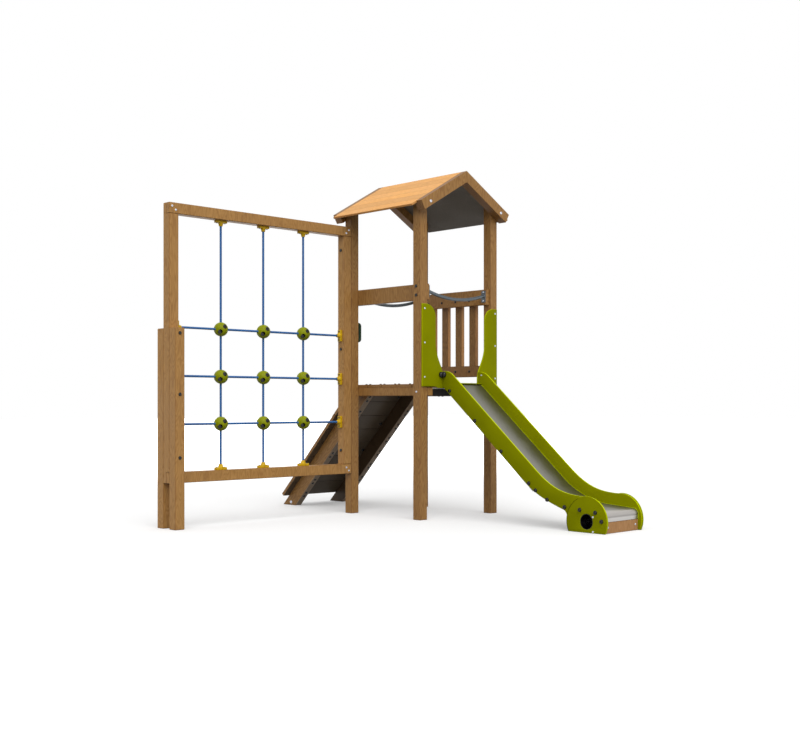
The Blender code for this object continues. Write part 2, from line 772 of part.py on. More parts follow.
def make_slide():
    make_chute()
    loops = [slide_side_loop(), foot_hole_loop()]
    for end, side in (("front", -1), ("rear", 1)):
        start = slide_half if side > 0 else -slide_outer
        add_part("slide_side_" + end, outline_mesh(loops, panel_thick, "XZ", start), "green_panel",
                 bevel=panel_edge)
        start = slide_outer + gap if side > 0 else -slide_outer - gap - foot_plate_thick
        plate = [foot_plate_loop(), foot_hole_loop()]
        add_part("slide_foot_plate_" + end, outline_mesh(plate, foot_plate_thick, "XZ", start), "green_panel",
                 bevel=panel_edge)

    half = slide_half - gap
    face = chute_lip_x - end_board_set_back
    board = ((face - end_board_thick, -half, 0), (face, half, end_board_height))
    add_part("slide_end_board", boxes_mesh([board]), "end_timber", bevel=edge_round)
    low = deck_top + gap
    strip = ((outer - threshold_overlap, -half, low),
             (outer - threshold_overlap + threshold_length, half, low + threshold_thick))
    add_part("slide_threshold", boxes_mesh([strip]), "green_panel", bevel=panel_edge)

    beam_half = rim_inner - gap
    beam_end = outer - hanger_set_back
    # A steel hanger between the rims, with a lip on top that reaches out to the entry panels.
    lip_top = hanger_top + hanger_plate
    beam = [(beam_end - hanger_width, hanger_top - hanger_height), (beam_end, hanger_top - hanger_height),
            (beam_end, hanger_top), (outer, hanger_top), (outer, lip_top), (beam_end - hanger_width, lip_top)]
    mesh = outline_mesh([beam], 2 * beam_half, "XZ", -beam_half)
    add_part("slide_hanger", mesh, "black_steel", bevel=hanger_edge)


def entry_loop():
    corner = (entry_inner + entry_top_radius, entry_top - entry_top_radius)
    loop = [(entry_outer, entry_bottom), (entry_outer, entry_top)]
    loop += arc(corner, entry_top_radius, 90, 180, 8)
    flare_start = (entry_inner, entry_flare_top)
    flare_end = (slide_half + 0.004, entry_flare_bottom)
    loop.append(flare_start)
    loop += blend(flare_start, (entry_inner, entry_flare_top - 0.110),
                  (flare_end[0] + 0.014, flare_end[1] + 0.070), flare_end, 8)
    loop += [(slide_half, entry_flare_bottom - 0.030), (slide_half, entry_low_bottom),
             (slide_half + 0.066, entry_low_bottom), (slide_half + 0.099, entry_bottom)]
    return loop


def make_entry():
    start = outer + gap
    for name, side in (("entry_panel_front", -1), ("entry_panel_rear", 1)):
        loop = [(side * y, z) for y, z in entry_loop()]
        add_part(name, outline_mesh([loop], panel_thick - gap, "YZ", start), "green_panel", bevel=panel_edge)

    # A small capped angle in each corner between an entry panel and a side of the slide.
    for name, side in (("entry_angle_front", -1), ("entry_angle_rear", 1)):
        add_part(name, angle_mesh(side), "black_plastic", smooth=True)


def angle_mesh(side):
    x_face, y_face = entry_face + gap, slide_outer + gap
    low, high = angle_cap_height - angle_height / 2, angle_cap_height + angle_height / 2
    leg = boxes_mesh([((x_face, y_face, low), (x_face + angle_leg, y_face + angle_thick, high))])
    other = boxes_mesh([((x_face, y_face, low), (x_face + angle_thick, y_face + angle_leg, high))])
    caps = []
    for direction in ((0, 1, 0), (1, 0, 0)):
        along_x = direction[0]
        x = x_face + (0 if along_x else angle_cap_offset)
        y = y_face + (angle_cap_offset if along_x else 0)
        spot = Vector((x, y, angle_cap_height)) + Vector(direction) * (angle_thick + angle_cap_reach) / 2
        turn = Vector(direction).to_track_quat('Z', 'Y').to_matrix().to_4x4()
        bm = bmesh.new()
        bmesh.ops.create_cone(bm, cap_ends=True, segments=16, radius1=angle_cap_radius,
                              radius2=angle_cap_radius * 0.62, depth=angle_cap_reach - angle_thick / 2,
                              matrix=Matrix.Translation(spot) @ turn)
        caps.append(mesh_from(bm))
    mesh = combined(leg, [other] + caps, 'UNION')
    if side < 0:
        bm = bmesh.new()
        bm.from_mesh(mesh)
        bmesh.ops.scale(bm, vec=(1, -1, 1), verts=bm.verts)
        bmesh.ops.reverse_faces(bm, faces=bm.faces)
        bm.to_mesh(mesh)
        bm.free()
    return mesh


def ramp_empty():
    """+X up the slope and +Z square to it, from where the stringers' underside meets the ground."""
    ramp = bpy.data.objects.new("ramp_slope", None)
    parts.objects.link(ramp)
    ramp.parent = tower
    ramp.location = (-ramp_foot_x, 0, 0)
    ramp.rotation_euler = (0, -ramp_pitch, 0)
    return ramp


def make_ramp():
    ramp = ramp_empty()
    top = deck_under - gap
    shift = stringer_depth / sin(ramp_pitch)
    rise = top / tan(ramp_pitch)
    loop = [(-ramp_foot_x - shift, 0), (-ramp_foot_x, 0), (-ramp_foot_x + rise, top),
            (-ramp_foot_x + rise - shift, top)]
    stringer_outer = rim_inner - stringer_clearance
    for name, side in (("ramp_stringer_front", -1), ("ramp_stringer_rear", 1)):
        start = stringer_outer - stringer_width if side > 0 else -stringer_outer
        add_part(name, outline_mesh([loop], stringer_width, "XZ", start), "timber", bevel=edge_round)

    # The top board's lower corner stops at the edge of the deck.
    seat = stringer_depth + gap
    high_end = (ramp_foot_x - deck_end - 2 * gap) / cos(ramp_pitch) + seat * tan(ramp_pitch)
    half = inner - deck_side_clearance
    plank = ramp_plank_pitch - ramp_plank_joint
    start = high_end - ramp_plank_count * ramp_plank_pitch + ramp_plank_joint
    loop = board_row(start, ramp_plank_count, plank, ramp_plank_pitch, seat, ramp_plank_thick)
    boards = outline_mesh([loop], 2 * half, "XZ", -half)
    face = seat + ramp_plank_thick
    cleats = []
    for number in range(cleat_count):
        middle = cleat_first + number * cleat_pitch
        cleats.append(boxes_mesh([((middle - cleat_width / 2, -cleat_length / 2, face - joint_web),
                                   (middle + cleat_width / 2, cleat_length / 2, face + cleat_height))]))
    add_part("ramp_boards", combined(boards, cleats, 'UNION', board_round), "timber", parent=ramp)


clear_scene()
start_collections()
make_tower_posts()
make_platform()
make_rails()
make_safety_bars()
make_hand_grips()
make_roof()
make_net_frame()
make_ropes()
make_rope_balls()
make_slide()
make_entry()
make_ramp()
bpy.context.view_layer.update()
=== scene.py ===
from itertools import product
from math import cos, pi, radians, sin, tan

import bmesh
import bpy
from mathutils import Matrix, Vector


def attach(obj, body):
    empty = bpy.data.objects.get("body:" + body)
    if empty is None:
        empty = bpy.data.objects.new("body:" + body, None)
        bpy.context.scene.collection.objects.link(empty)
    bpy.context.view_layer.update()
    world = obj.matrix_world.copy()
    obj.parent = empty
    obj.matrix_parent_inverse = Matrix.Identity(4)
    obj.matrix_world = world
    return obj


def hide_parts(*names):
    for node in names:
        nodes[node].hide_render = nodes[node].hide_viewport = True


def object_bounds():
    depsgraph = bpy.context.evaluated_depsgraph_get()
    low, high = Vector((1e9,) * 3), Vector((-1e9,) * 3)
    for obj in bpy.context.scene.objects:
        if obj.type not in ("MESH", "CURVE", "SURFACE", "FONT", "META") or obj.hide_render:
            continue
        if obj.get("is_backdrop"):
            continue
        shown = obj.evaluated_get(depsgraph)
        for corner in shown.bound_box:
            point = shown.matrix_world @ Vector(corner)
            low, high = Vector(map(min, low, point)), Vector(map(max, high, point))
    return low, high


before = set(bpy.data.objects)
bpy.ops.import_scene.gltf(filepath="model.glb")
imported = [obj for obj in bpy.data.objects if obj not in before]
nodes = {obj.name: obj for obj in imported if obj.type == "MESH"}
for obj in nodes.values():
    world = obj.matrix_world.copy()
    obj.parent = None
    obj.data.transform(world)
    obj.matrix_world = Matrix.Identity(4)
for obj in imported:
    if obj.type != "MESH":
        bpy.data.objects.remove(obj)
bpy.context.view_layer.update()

# Half the post spacing, the posts' outer and inner faces, the deck's top and the ridge
tower = {"half": 0.46, "outer": 0.505, "inner": 0.415, "deck": 1.204, "ridge": 3.134}
# Pieces are placed from the tower's middle, materials from the CAD origin at the front post's foot
towerMiddle = Vector((-tower["half"], tower["half"], 0.0))
ends = (("front", -1), ("rear", 1))


def tint(red, green, blue):
    parts = [c / 255 for c in (red, green, blue)]
    return tuple(c / 12.92 if c <= 0.04045 else ((c + 0.055) / 1.055) ** 2.4 for c in parts) + (1.0,)


def setInputs(node, inputs):
    for key, value in inputs.items():
        socket = node.inputs[key]
        if isinstance(value, bpy.types.NodeSocket):
            node.id_data.links.new(value, socket)
        else:
            socket.default_value = value


def addNode(tree, kind, inputs=None, **settings):
    node = tree.nodes.new(kind)
    for key, value in settings.items():
        setattr(node, key, value)
    setInputs(node, inputs or {})
    return node


def startMaterial(name, roughness, metallic=0.0):
    material = bpy.data.materials.new(name)
    material.use_nodes = True
    tree = material.node_tree
    shader = tree.nodes["Principled BSDF"]
    setInputs(shader, {"Roughness": roughness, "Metallic": metallic})
    return material, shader, addNode(tree, "ShaderNodeTexCoord").outputs


def treeOf(*values):
    return next(value.id_data for value in values if isinstance(value, bpy.types.NodeSocket))


def sums(operation, first, second=0.0, third=0.0):
    return addNode(treeOf(first, second, third), "ShaderNodeMath", {0: first, 1: second, 2: third},
                   operation=operation).outputs[0]


def arrows(operation, first, second=(0.0, 0.0, 0.0)):
    node = addNode(treeOf(first), "ShaderNodeVectorMath", {0: first, 1: second}, operation=operation)
    return node.outputs["Value" if operation in ("DOT_PRODUCT", "LENGTH") else "Vector"]


def turned(vector, angles=(0.0, 0.0, 0.0), scale=(1.0, 1.0, 1.0), kind="POINT"):
    inputs = {"Vector": vector, "Rotation": angles, "Scale": scale}
    return addNode(vector.id_data, "ShaderNodeMapping", inputs, vector_type=kind).outputs[0]


def splitAxes(vector):
    return addNode(vector.id_data, "ShaderNodeSeparateXYZ", {"Vector": vector}).outputs


def spread(value, low, high, bottom=0.0, top=1.0, kind="LINEAR"):
    inputs = {"Value": value, "From Min": low, "From Max": high, "To Min": bottom, "To Max": top}
    return addNode(value.id_data, "ShaderNodeMapRange", inputs, interpolation_type=kind).outputs["Result"]


def ramp(value, stops):
    node = addNode(value.id_data, "ShaderNodeValToRGB", {"Fac": value})
    band = node.color_ramp
    while len(band.elements) < len(stops):
        band.elements.new(0.5)
    for element, (place, colour) in zip(band.elements, stops):
        element.position = place
        element.color = colour
    return node.outputs["Color"]


def greys(value, *stops):
    return ramp(value, [(place, (level, level, level, 1)) for place, level in stops])


def mixed(share, first, second, blend="MIX"):
    # Inputs 6 and 7 and output 2 are the mix node's colours
    return addNode(treeOf(share, first, second), "ShaderNodeMix", {0: share, 6: first, 7: second},
                   data_type="RGBA", blend_type=blend).outputs[2]


def noise(place, scale, detail=2.0, rough=0.5):
    inputs = {"Vector": place, "Scale": scale, "Detail": detail, "Roughness": rough}
    return addNode(place.id_data, "ShaderNodeTexNoise", inputs).outputs["Fac"]


def bump(height, strength, distance):
    inputs = {"Height": height, "Strength": strength, "Distance": distance}
    return addNode(height.id_data, "ShaderNodeBump", inputs).outputs["Normal"]


timber = {
    "dark": tint(126, 86, 43), "middle": tint(156, 113, 60), "light": tint(170, 128, 72), "edge": 0.66,
    "roughness": 0.66, "figure": 12.0, "fibreShare": 0.30, "toneShare": 0.12, "bump": 0.22, "sheen": 0.25,
    "figureScale": (3.4, 14.0, 14.0), "fibreScale": (14.0, 190.0, 190.0), "flat": 0.93, "sideReach": 0.6,
}
roofTimber = dict(timber, dark=tint(212, 152, 85), middle=tint(227, 168, 99), light=tint(234, 177, 108),
                  edge=0.75, figure=11.0, sheen=0.0)
# A lighter copy of the timber for the net's frame: painted light, as it stands out from under the roof
litNetTimber = dict(timber, dark=tint(148, 103, 54), middle=tint(172, 127, 69), light=tint(184, 139, 80))
# A darker copy of the timber for the slats and the lower rail: painted shade, as they stand under the roof
shadedSlatTimber = dict(timber, dark=tint(106, 74, 37), middle=tint(132, 96, 51), light=tint(144, 107, 60))
endTimber = dict(timber, dark=tint(156, 110, 66), middle=tint(174, 127, 78), light=tint(184, 138, 88),
                 edge=0.6)


def makeTimber(name, look, turn, boards=None, sideTints=(), lines=0.0):
    # turn lays the grain along X, boards = (direction across the boards, pitch, start),
    # side tints = (direction a side faces, the colour laid on that side, True where the side opposite takes
    # it too); the slats' lit sides are painted light this way,
    # lines = share of a board's pitch that is a groove at each joint
    material, shader, spot = startMaterial(name, look["roughness"])
    place, normal = spot["Object"], spot["Normal"]
    where = turned(place, turn)
    if boards:
        across, pitch, start = boards
        along = arrows("DOT_PRODUCT", place, across)
        step = sums("DIVIDE", sums("SUBTRACT", along, start), pitch)
        number = sums("FLOOR", step)
        shift = {"X": sums("MULTIPLY", number, 3.7), "Y": sums("MULTIPLY", number, 1.3)}
        where = arrows("ADD", where, addNode(number.id_data, "ShaderNodeCombineXYZ", shift).outputs[0])
    drawn = turned(where, scale=look["figureScale"])
    fine = turned(where, scale=look["fibreScale"])
    figure = sums("MULTIPLY", noise(drawn, 1.0, 1.5, 0.4), look["figure"])
    rings = sums("PINGPONG", figure, 0.5)
    fibre = noise(fine, 1.0, 2.0, 0.6)
    tone = noise(where, 2.2, 1.0)
    grain = sums("MULTIPLY_ADD", rings, 1.3, 0.2)
    colour = ramp(grain, [(0.0, look["dark"]), (0.45, look["middle"]), (1.0, look["light"])])
    light = ramp(fibre, [(0.25, (0.55, 0.5, 0.45, 1)), (0.75, (1.25, 1.25, 1.25, 1))])
    colour = mixed(look["fibreShare"], colour, light, "MULTIPLY")
    colour = mixed(look["toneShare"], colour, greys(tone, (0.3, 0.7), (0.7, 1.3)), "MULTIPLY")
    if boards:
        own = addNode(number.id_data, "ShaderNodeTexWhiteNoise", {"W": number}, noise_dimensions="1D")
        colour = mixed(1.0, colour, greys(own.outputs["Value"], (0.0, 0.9), (1.0, 1.05)), "MULTIPLY")
    # The narrow bevelled faces lie square to no side of the board: they are darkened with painted shade
    sides = splitAxes(arrows("ABSOLUTE", turned(normal, turn, kind="VECTOR")))
    most = sums("MAXIMUM", sides[0], sums("MAXIMUM", sides[1], sides[2]))
    atEdge = sums("LESS_THAN", most, look["flat"])
    edgeShade = (look["edge"], look["edge"] * 0.92, look["edge"] * 0.82, 1)
    colour = mixed(sums("MULTIPLY", atEdge, 0.85), colour, edgeShade, "MULTIPLY")
    atEnd = sums("GREATER_THAN", sides[0], look["flat"])
    colour = mixed(sums("MULTIPLY", atEnd, 0.35), colour, (0.6, 0.52, 0.45, 1), "MULTIPLY")
    height = sums("ADD", sums("MULTIPLY", fibre, 0.7), sums("MULTIPLY", rings, 0.6))
    if lines:
        part = sums("FRACT", step)
        groove = sums("LESS_THAN", sums("PINGPONG", part, 0.5), lines)
        colour = mixed(sums("MULTIPLY", groove, 0.5), colour, (0.60, 0.48, 0.36, 1), "MULTIPLY")
        height = sums("SUBTRACT", height, sums("MULTIPLY", groove, 1.0))
    for side, sideColour, bothWays in sideTints:
        facing = arrows("DOT_PRODUCT", normal, side)
        if bothWays:
            facing = sums("ABSOLUTE", facing)
        facing = sums("GREATER_THAN", facing, look["sideReach"])
        grit = greys(noise(place, 240.0, 2.0), (0.3, 0.5), (0.7, 1.5))
        colour = mixed(facing, colour, mixed(0.4, sideColour, grit, "MULTIPLY"))
    wear = greys(tone, (0.3, look["roughness"] - 0.08), (0.7, look["roughness"] + 0.1))
    setInputs(shader, {"Base Color": colour, "Roughness": wear, "Normal": bump(height, look["bump"], 0.0006),
                       "Specular IOR Level": 0.22, "Coat Weight": look["sheen"], "Coat Roughness": 0.3})
    return material


# The rim colour is the face colour painted lighter: a painted highlight along the sheets' edges
sheetLook = {
    "face": tint(136, 140, 0), "rim": tint(172, 182, 0), "seam": tint(50, 52, 0), "roughness": 0.40,
    "speckle": 0.16, "shine": 0.02, "litFrom": (0.6, 0.0, 0.8), "shadeArcWidth": 0.0075, "shadeArcEnd": -0.085,
}


def makeSheet(name, colour, look, litBoost=1.0, seam=None):
    # the boost paints light onto what faces up and out, seam = (middle, radius) of a dark arc of painted
    # shade towards the tower
    material, shader, spot = startMaterial(name, look["roughness"])
    place = spot["Object"]
    grit = noise(place, 420.0, 2.0, 0.6)
    cloud = noise(place, 5.0, 3.0)
    light = ramp(grit, [(0.3, (0.7, 0.7, 0.7, 1)), (0.7, (1.3, 1.3, 1.2, 1))])
    colour = mixed(look["speckle"], colour, light, "MULTIPLY")
    light = ramp(cloud, [(0.3, (0.88, 0.88, 0.9, 1)), (0.7, (1.1, 1.1, 1.0, 1))])
    colour = mixed(0.5, colour, light, "MULTIPLY")
    if litBoost > 1.0:
        lit = arrows("DOT_PRODUCT", spot["Normal"], look["litFrom"])
        colour = mixed(1.0, colour, greys(lit, (0.75, 1.0), (0.98, litBoost)), "MULTIPLY")
    # Painted shade: a dark arc on the plate's face along its edge towards the tower, where it meets the side
    # panel
    if seam:
        middle, radius = seam
        flat = arrows("MULTIPLY", arrows("SUBTRACT", place, middle), (1.0, 0.0, 1.0))
        arc = sums("GREATER_THAN", arrows("LENGTH", flat), radius - look["shadeArcWidth"])
        back = sums("LESS_THAN", splitAxes(flat)[0], look["shadeArcEnd"])
        shown = sums("MULTIPLY", sums("MULTIPLY", arc, back), 0.85)
        colour = mixed(shown, colour, look["seam"])
    rough = greys(cloud, (0.3, look["roughness"] - 0.06), (0.75, look["roughness"] + 0.1))
    setInputs(shader, {"Base Color": colour, "Roughness": rough, "Normal": bump(grit, 0.12, 0.0004),
                       "Specular IOR Level": look["shine"]})
    return material


def makePlastic(name, colour, roughness, shine, grainSize=350.0, coat=0.0):
    material, shader, spot = startMaterial(name, roughness)
    place = spot["Object"]
    grain = noise(place, grainSize, 2.0)
    cloud = noise(place, 18.0, 2.0)
    colour = mixed(0.7, colour, greys(cloud, (0.3, 0.86), (0.7, 1.12)), "MULTIPLY")
    rough = greys(cloud, (0.3, roughness - 0.06), (0.7, roughness + 0.1))
    setInputs(shader, {"Base Color": colour, "Roughness": rough, "Normal": bump(grain, 0.1, 0.0003),
                       "Specular IOR Level": shine, "Coat Weight": coat, "Coat Roughness": 0.2})
    return material


def makeMetal(name, colour, roughness, stretch=(1.0, 1.0, 1.0), turn=(0.0, 0.0, 0.0), size=300.0,
              spangle=0.0):
    material, shader, spot = startMaterial(name, roughness, 1.0)
    place = spot["Object"]
    where = turned(turned(place, turn), scale=stretch)
    grain = noise(where, size, 3.0, 0.6)
    cloud = noise(place, 9.0, 3.0)
    colour = mixed(0.4, colour, greys(grain, (0.3, 0.8), (0.7, 1.1)), "MULTIPLY")
    if spangle:
        cells = addNode(place.id_data, "ShaderNodeTexVoronoi", {"Vector": place, "Scale": 160.0})
        cells = addNode(place.id_data, "ShaderNodeRGBToBW", {"Color": cells.outputs["Color"]}).outputs[0]
        colour = mixed(spangle, colour, greys(cells, (0.2, 0.75), (0.8, 1.2)), "MULTIPLY")
    rough = sums("ADD", sums("MULTIPLY", grain, 0.12), sums("MULTIPLY", cloud, 0.12))
    setInputs(shader, {"Base Color": colour, "Roughness": sums("ADD", rough, roughness - 0.1),
                       "Normal": bump(grain, 0.08, 0.0002)})
    return material


def makeRope(name, upright, centre, look):
    # Two sets of strands wind round the rope's own axis, which the turn lays along Z
    material, shader, spot = startMaterial(name, 0.75)
    place = spot["Object"]
    turn = (0.0, 0.0, 0.0) if upright else (pi / 2, 0.0, 0.0)
    x, y, z = splitAxes(turned(arrows("SUBTRACT", place, centre), turn))
    angle = sums("MULTIPLY", sums("ARCTAN2", y, x), look["strands"])
    climb = sums("MULTIPLY", z, look["turns"])
    one = sums("SINE", sums("ADD", angle, climb))
    two = sums("SINE", sums("SUBTRACT", angle, climb))
    braid = sums("MAXIMUM", one, two)
    colour = ramp(braid, [(0.0, look["deep"]), (0.6, look["colour"]), (1.0, look["bright"])])
    fuzz = greys(noise(place, 900.0, 2.0), (0.3, 0.7), (0.7, 1.2))
    colour = mixed(0.4, colour, fuzz, "MULTIPLY")
    setInputs(shader, {"Base Color": colour, "Normal": bump(braid, 0.3, 0.0008), "Specular IOR Level": 0.2})
    return material


alongY, alongZ = (0.0, 0.0, -pi / 2), (0.0, pi / 2, 0.0)
roofAngle, rampAngle, slideAngle = radians(30), radians(45), radians(40)
timberUp = makeTimber("timberUp", timber, alongZ)
litNetTimberUp = makeTimber("litNetTimberUp", litNetTimber, alongZ)
# The slats' sides facing +X take a lighter colour: painted light falling from that side
shadedSlatTimberUp = makeTimber("shadedSlatTimberUp", shadedSlatTimber, alongZ,
                          sideTints=(((1.0, 0.0, 0.0), tint(184, 134, 82), False),))
boardRows = {"deckPitch": 0.1965, "deckStart": -0.948, "rampPitch": 0.1925, "rampFoot": -1.92268,
             "rampSetIn": 0.01064, "roofPitch": 0.1217, "roofLine": 0.035}
deckTimber = makeTimber("deckTimber", timber, alongY,
                        boards=((1.0, 0.0, 0.0), boardRows["deckPitch"], boardRows["deckStart"]))
rampStart = boardRows["rampFoot"] * cos(rampAngle) - boardRows["rampSetIn"]
slopeUnder, slopeAlong = (sin(rampAngle), 0.0, -cos(rampAngle)), (cos(rampAngle), 0.0, sin(rampAngle))
rampUnder = tint(92, 79, 63)
rampTimber = makeTimber("rampTimber", timber, (0.0, rampAngle, -pi / 2),
                        boards=(slopeAlong, boardRows["rampPitch"], rampStart),
                        sideTints=((slopeUnder, rampUnder, False), (slopeAlong, rampUnder, True)))
boardEnd = makeTimber("boardEnd", endTimber, alongZ)
oliveSheet = makeSheet("oliveSheet", sheetLook["face"], sheetLook)
# The sheets' edges: a painted highlight in lighter olive, brightened further where they face up and out
litOliveRim = makeSheet("litOliveRim", sheetLook["rim"], sheetLook, litBoost=1.22)
foot = {"x": 2.138, "z": 0.088, "plateRadius": 0.2035}
# The foot plates' face, with its arc of painted shade
plateSheet = makeSheet("plateSheet", sheetLook["face"], sheetLook,
                       seam=((towerMiddle.x + foot["x"], 0.0, foot["z"]), foot["plateRadius"]))
blackCap = makePlastic("blackCap", tint(10, 10, 12), 0.30, 0.3, coat=0.2)
yellowPlastic = makePlastic("yellowPlastic", tint(206, 166, 12), 0.40, 0.25)
gripPlastic = makePlastic("gripPlastic", tint(10, 46, 22), 0.40, 0.3)
ballPlastic = makePlastic("ballPlastic", tint(134, 141, 3), 0.42, 0.12)
brightZinc = makeMetal("brightZinc", tint(206, 210, 220), 0.30, size=500.0)
barSteel = makeMetal("barSteel", tint(98, 105, 110), 0.44, spangle=0.4)
stainless = makeMetal("stainless", tint(152, 150, 146), 0.34, stretch=(1.0, 40.0, 40.0),
                      turn=(0.0, -slideAngle, 0.0), size=12.0)
hangerSteel = makePlastic("hangerSteel", tint(17, 13, 13), 0.45, 0.3, grainSize=500.0)


def openLook(material):
    # What a second finish is laid over: the shader, the place along X, Y and Z, the first colour
    nodes = material.node_tree.nodes
    shader = nodes["Principled BSDF"]
    axes = splitAxes(nodes["Texture Coordinate"].outputs["Object"])
    return shader, axes, shader.inputs["Base Color"].links[0].from_socket


# The rolled lip at the chute's end is painted lighter, with a painted dark band along its bend: painted
# highlights on its roll.
# x is where the painted light sets in, from none to full, and z the lip's low and high edge.
lip = {"x": (1.780, 1.820), "z": (0.09, 0.18),
       "lightBands": [(0.20, tint(190, 187, 184)), (0.31, tint(194, 191, 188)), (0.43, tint(150, 146, 143)),
                 (0.56, tint(176, 172, 168)), (0.85, tint(188, 183, 178))]}
shader, axes, brushed = openLook(stainless)
lipLight, level = spread(axes[0], *lip["x"]), spread(axes[2], *lip["z"])
setInputs(shader, {"Base Color": mixed(lipLight, brushed, ramp(level, lip["lightBands"]))})

# The hanger's top lip is bare metal, the beam below it is black
hanger = {"lipLow": 1.1602, "bare": tint(190, 194, 200), "metal": 0.9}
shader, axes, painted = openLook(hangerSteel)
bare = sums("GREATER_THAN", axes[2], hanger["lipLow"])
setInputs(shader, {"Base Color": mixed(bare, painted, hanger["bare"]),
                   "Metallic": sums("MULTIPLY", bare, hanger["metal"])})


def dress(material, *names):
    for name in names:
        data = nodes[name].data
        data.materials.clear()
        data.materials.append(material)


dress(timberUp, *["tower_post_" + place for place in ("front", "left", "right", "rear")])
for end, side in ends:
    dress(timberUp, "platform_rim_" + end, "upper_rail_" + end, "rafter_slide_side_" + end,
          "rafter_ramp_side_" + end)
dress(shadedSlatTimberUp, "lower_rail_rear", *["barrier_slat_%d" % number for number in (1, 2, 3, 4)])
dress(litNetTimberUp, "net_post_inner", "net_post_outer", "net_foot_post_slide_side", "net_foot_post_ramp_side",
      "net_rail_top", "net_rail_bottom")
dress(deckTimber, "deck_planks")
dress(rampTimber, "ramp_boards")
dress(boardEnd, "slide_end_board")
dress(oliveSheet, "slide_threshold")
dress(hangerSteel, "slide_hanger")
for end, side in ends:
    stringerLook = dict(timber, middle=tint(146, 106, 57))
    # The stringers' side facing in under the ramp is tinted darker, their underside greyer
    stringerTimber = makeTimber("stringerTimber_" + end, stringerLook, (0.0, rampAngle, 0.0),
                                sideTints=(((0.0, -side, 0.0), tint(76, 58, 38), False),
                                       (slopeUnder, tint(156, 136, 114), False)))
    dress(stringerTimber, "ramp_stringer_" + end)
    lean = (side * roofAngle, 0.0, 0.0)
    down = (0.0, side * cos(roofAngle), -sin(roofAngle))
    ridge = side * tower["half"] * cos(roofAngle) - tower["ridge"] * sin(roofAngle)
    under = (0.0, -side * sin(roofAngle), -cos(roofAngle))
    roofBoards = makeTimber("roofBoards_" + end, roofTimber, lean, lines=boardRows["roofLine"],
                            boards=(down, boardRows["roofPitch"], ridge),
                            sideTints=((under, tint(116, 112, 105), False),))
    dress(roofBoards, "roof_boards_" + end)
print("materials ready")


def toMesh(name, bm):
    mesh = bpy.data.meshes.new(name)
    bm.to_mesh(mesh)
    bm.free()
    return mesh


def toScene(name, data):
    item = bpy.data.objects.new(name, data)
    bpy.context.scene.collection.objects.link(item)
    return item


def placed(place, angle, axis):
    return Matrix.Translation(place) @ Matrix.Rotation(angle, 4, axis)


def faceOut(bm):
    bmesh.ops.recalc_face_normals(bm, faces=bm.faces)


def newVerts(result):
    return [item for item in result["geom"] if isinstance(item, bmesh.types.BMVert)]


def addPiece(name, bm, materials, stands=(), sharp=38):
    bmesh.ops.translate(bm, verts=bm.verts, vec=towerMiddle)
    mesh = toMesh(name, bm)
    for material in materials:
        mesh.materials.append(material)
    mesh.shade_smooth()
    mesh.set_sharp_from_angle(angle=radians(sharp))
    piece = toScene(name, mesh)
    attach(piece, "root")
    if stands:
        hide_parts(*stands)


def curveMesh(curve, place):
    # The curve becomes a mesh in its place, with its caps welded to its sides
    item = toScene("drawing", curve)
    item.matrix_world = place
    bpy.context.view_layer.update()
    mesh = bpy.data.meshes.new_from_object(item.evaluated_get(bpy.context.evaluated_depsgraph_get()))
    bm = bmesh.new()
    bm.from_mesh(mesh)
    bmesh.ops.transform(bm, matrix=place, verts=bm.verts)
    bmesh.ops.remove_doubles(bm, verts=bm.verts, dist=0.00002)
    faceOut(bm)
    bpy.data.objects.remove(item)
    bpy.data.meshes.remove(mesh)
    return bm


def knot(u, v, back=(0.0, 0.0), ahead=(0.0, 0.0)):
    return (u, v), (u + back[0], v + back[1]), (u + ahead[0], v + ahead[1])


def turnKnots(u, v, radius, start, end, parts):
    # Knots round an arc of a circle, with their handles along it
    step = (end - start) / parts
    pull = 4 / 3 * tan(radians(step) / 4) * radius
    found = []
    for number in range(parts + 1):
        angle = radians(start + number * step)
        away = Vector((-sin(angle), cos(angle))) * pull
        back = away * (0 if number == 0 else -1)
        ahead = away * (0 if number == parts else 1)
        found.append(knot(u + radius * cos(angle), v + radius * sin(angle), back, ahead))
    return found


def cutSheet(outlines, thick, roundness, plane, start):
    # A sheet cut to its outlines, with rounded edges. plane is XZ or YZ, start its low side
    curve = bpy.data.curves.new("outline", "CURVE")
    curve.dimensions = "2D"
    curve.fill_mode = "BOTH"
    curve.resolution_u = 10
    curve.extrude = thick / 2 - roundness
    curve.bevel_depth = roundness
    curve.bevel_resolution = 2
    curve.offset = -roundness
    for outline in outlines:
        spline = curve.splines.new("BEZIER")
        spline.bezier_points.add(len(outline) - 1)
        spline.use_cyclic_u = True
        for point, (at, back, ahead) in zip(spline.bezier_points, outline):
            point.co, point.handle_left, point.handle_right = (*at, 0), (*back, 0), (*ahead, 0)
    middle = start + thick / 2
    place = placed((0, middle, 0), pi / 2, "X")
    if plane == "YZ":
        place = placed((middle, 0, 0), pi / 2, "Z") @ Matrix.Rotation(pi / 2, 4, "X")
    bm = curveMesh(curve, place)
    across = Vector((0, 1, 0) if plane == "XZ" else (1, 0, 0))
    for face in bm.faces:
        face.material_index = 0 if abs(face.normal.dot(across)) > 0.8 else 1
    return bm


slideSide = {
    "face": 0.223, "thick": 0.015, "plate": 0.009, "gap": 0.0003, "roundness": 0.003, "start": 0.5203,
    "shoulder": 1.318, "shoulderRadius": 0.150, "upper": 1.8239, "width": 0.159, "footRadius": 0.1985,
    "hole": 0.0625, "topBend": 1.607, "topPull": 0.433, "lowBend": 1.487, "heel": (1.8993, 0.167),
    "heelPull": 0.040, "heelTurn": 0.022, "heelStart": 178, "heelLean": 0.1, "heelDrop": 0.45,
    "underHandles": (0.32, 0.104, 0.29), "sole": 26.31, "plateSole": 25.62,
}


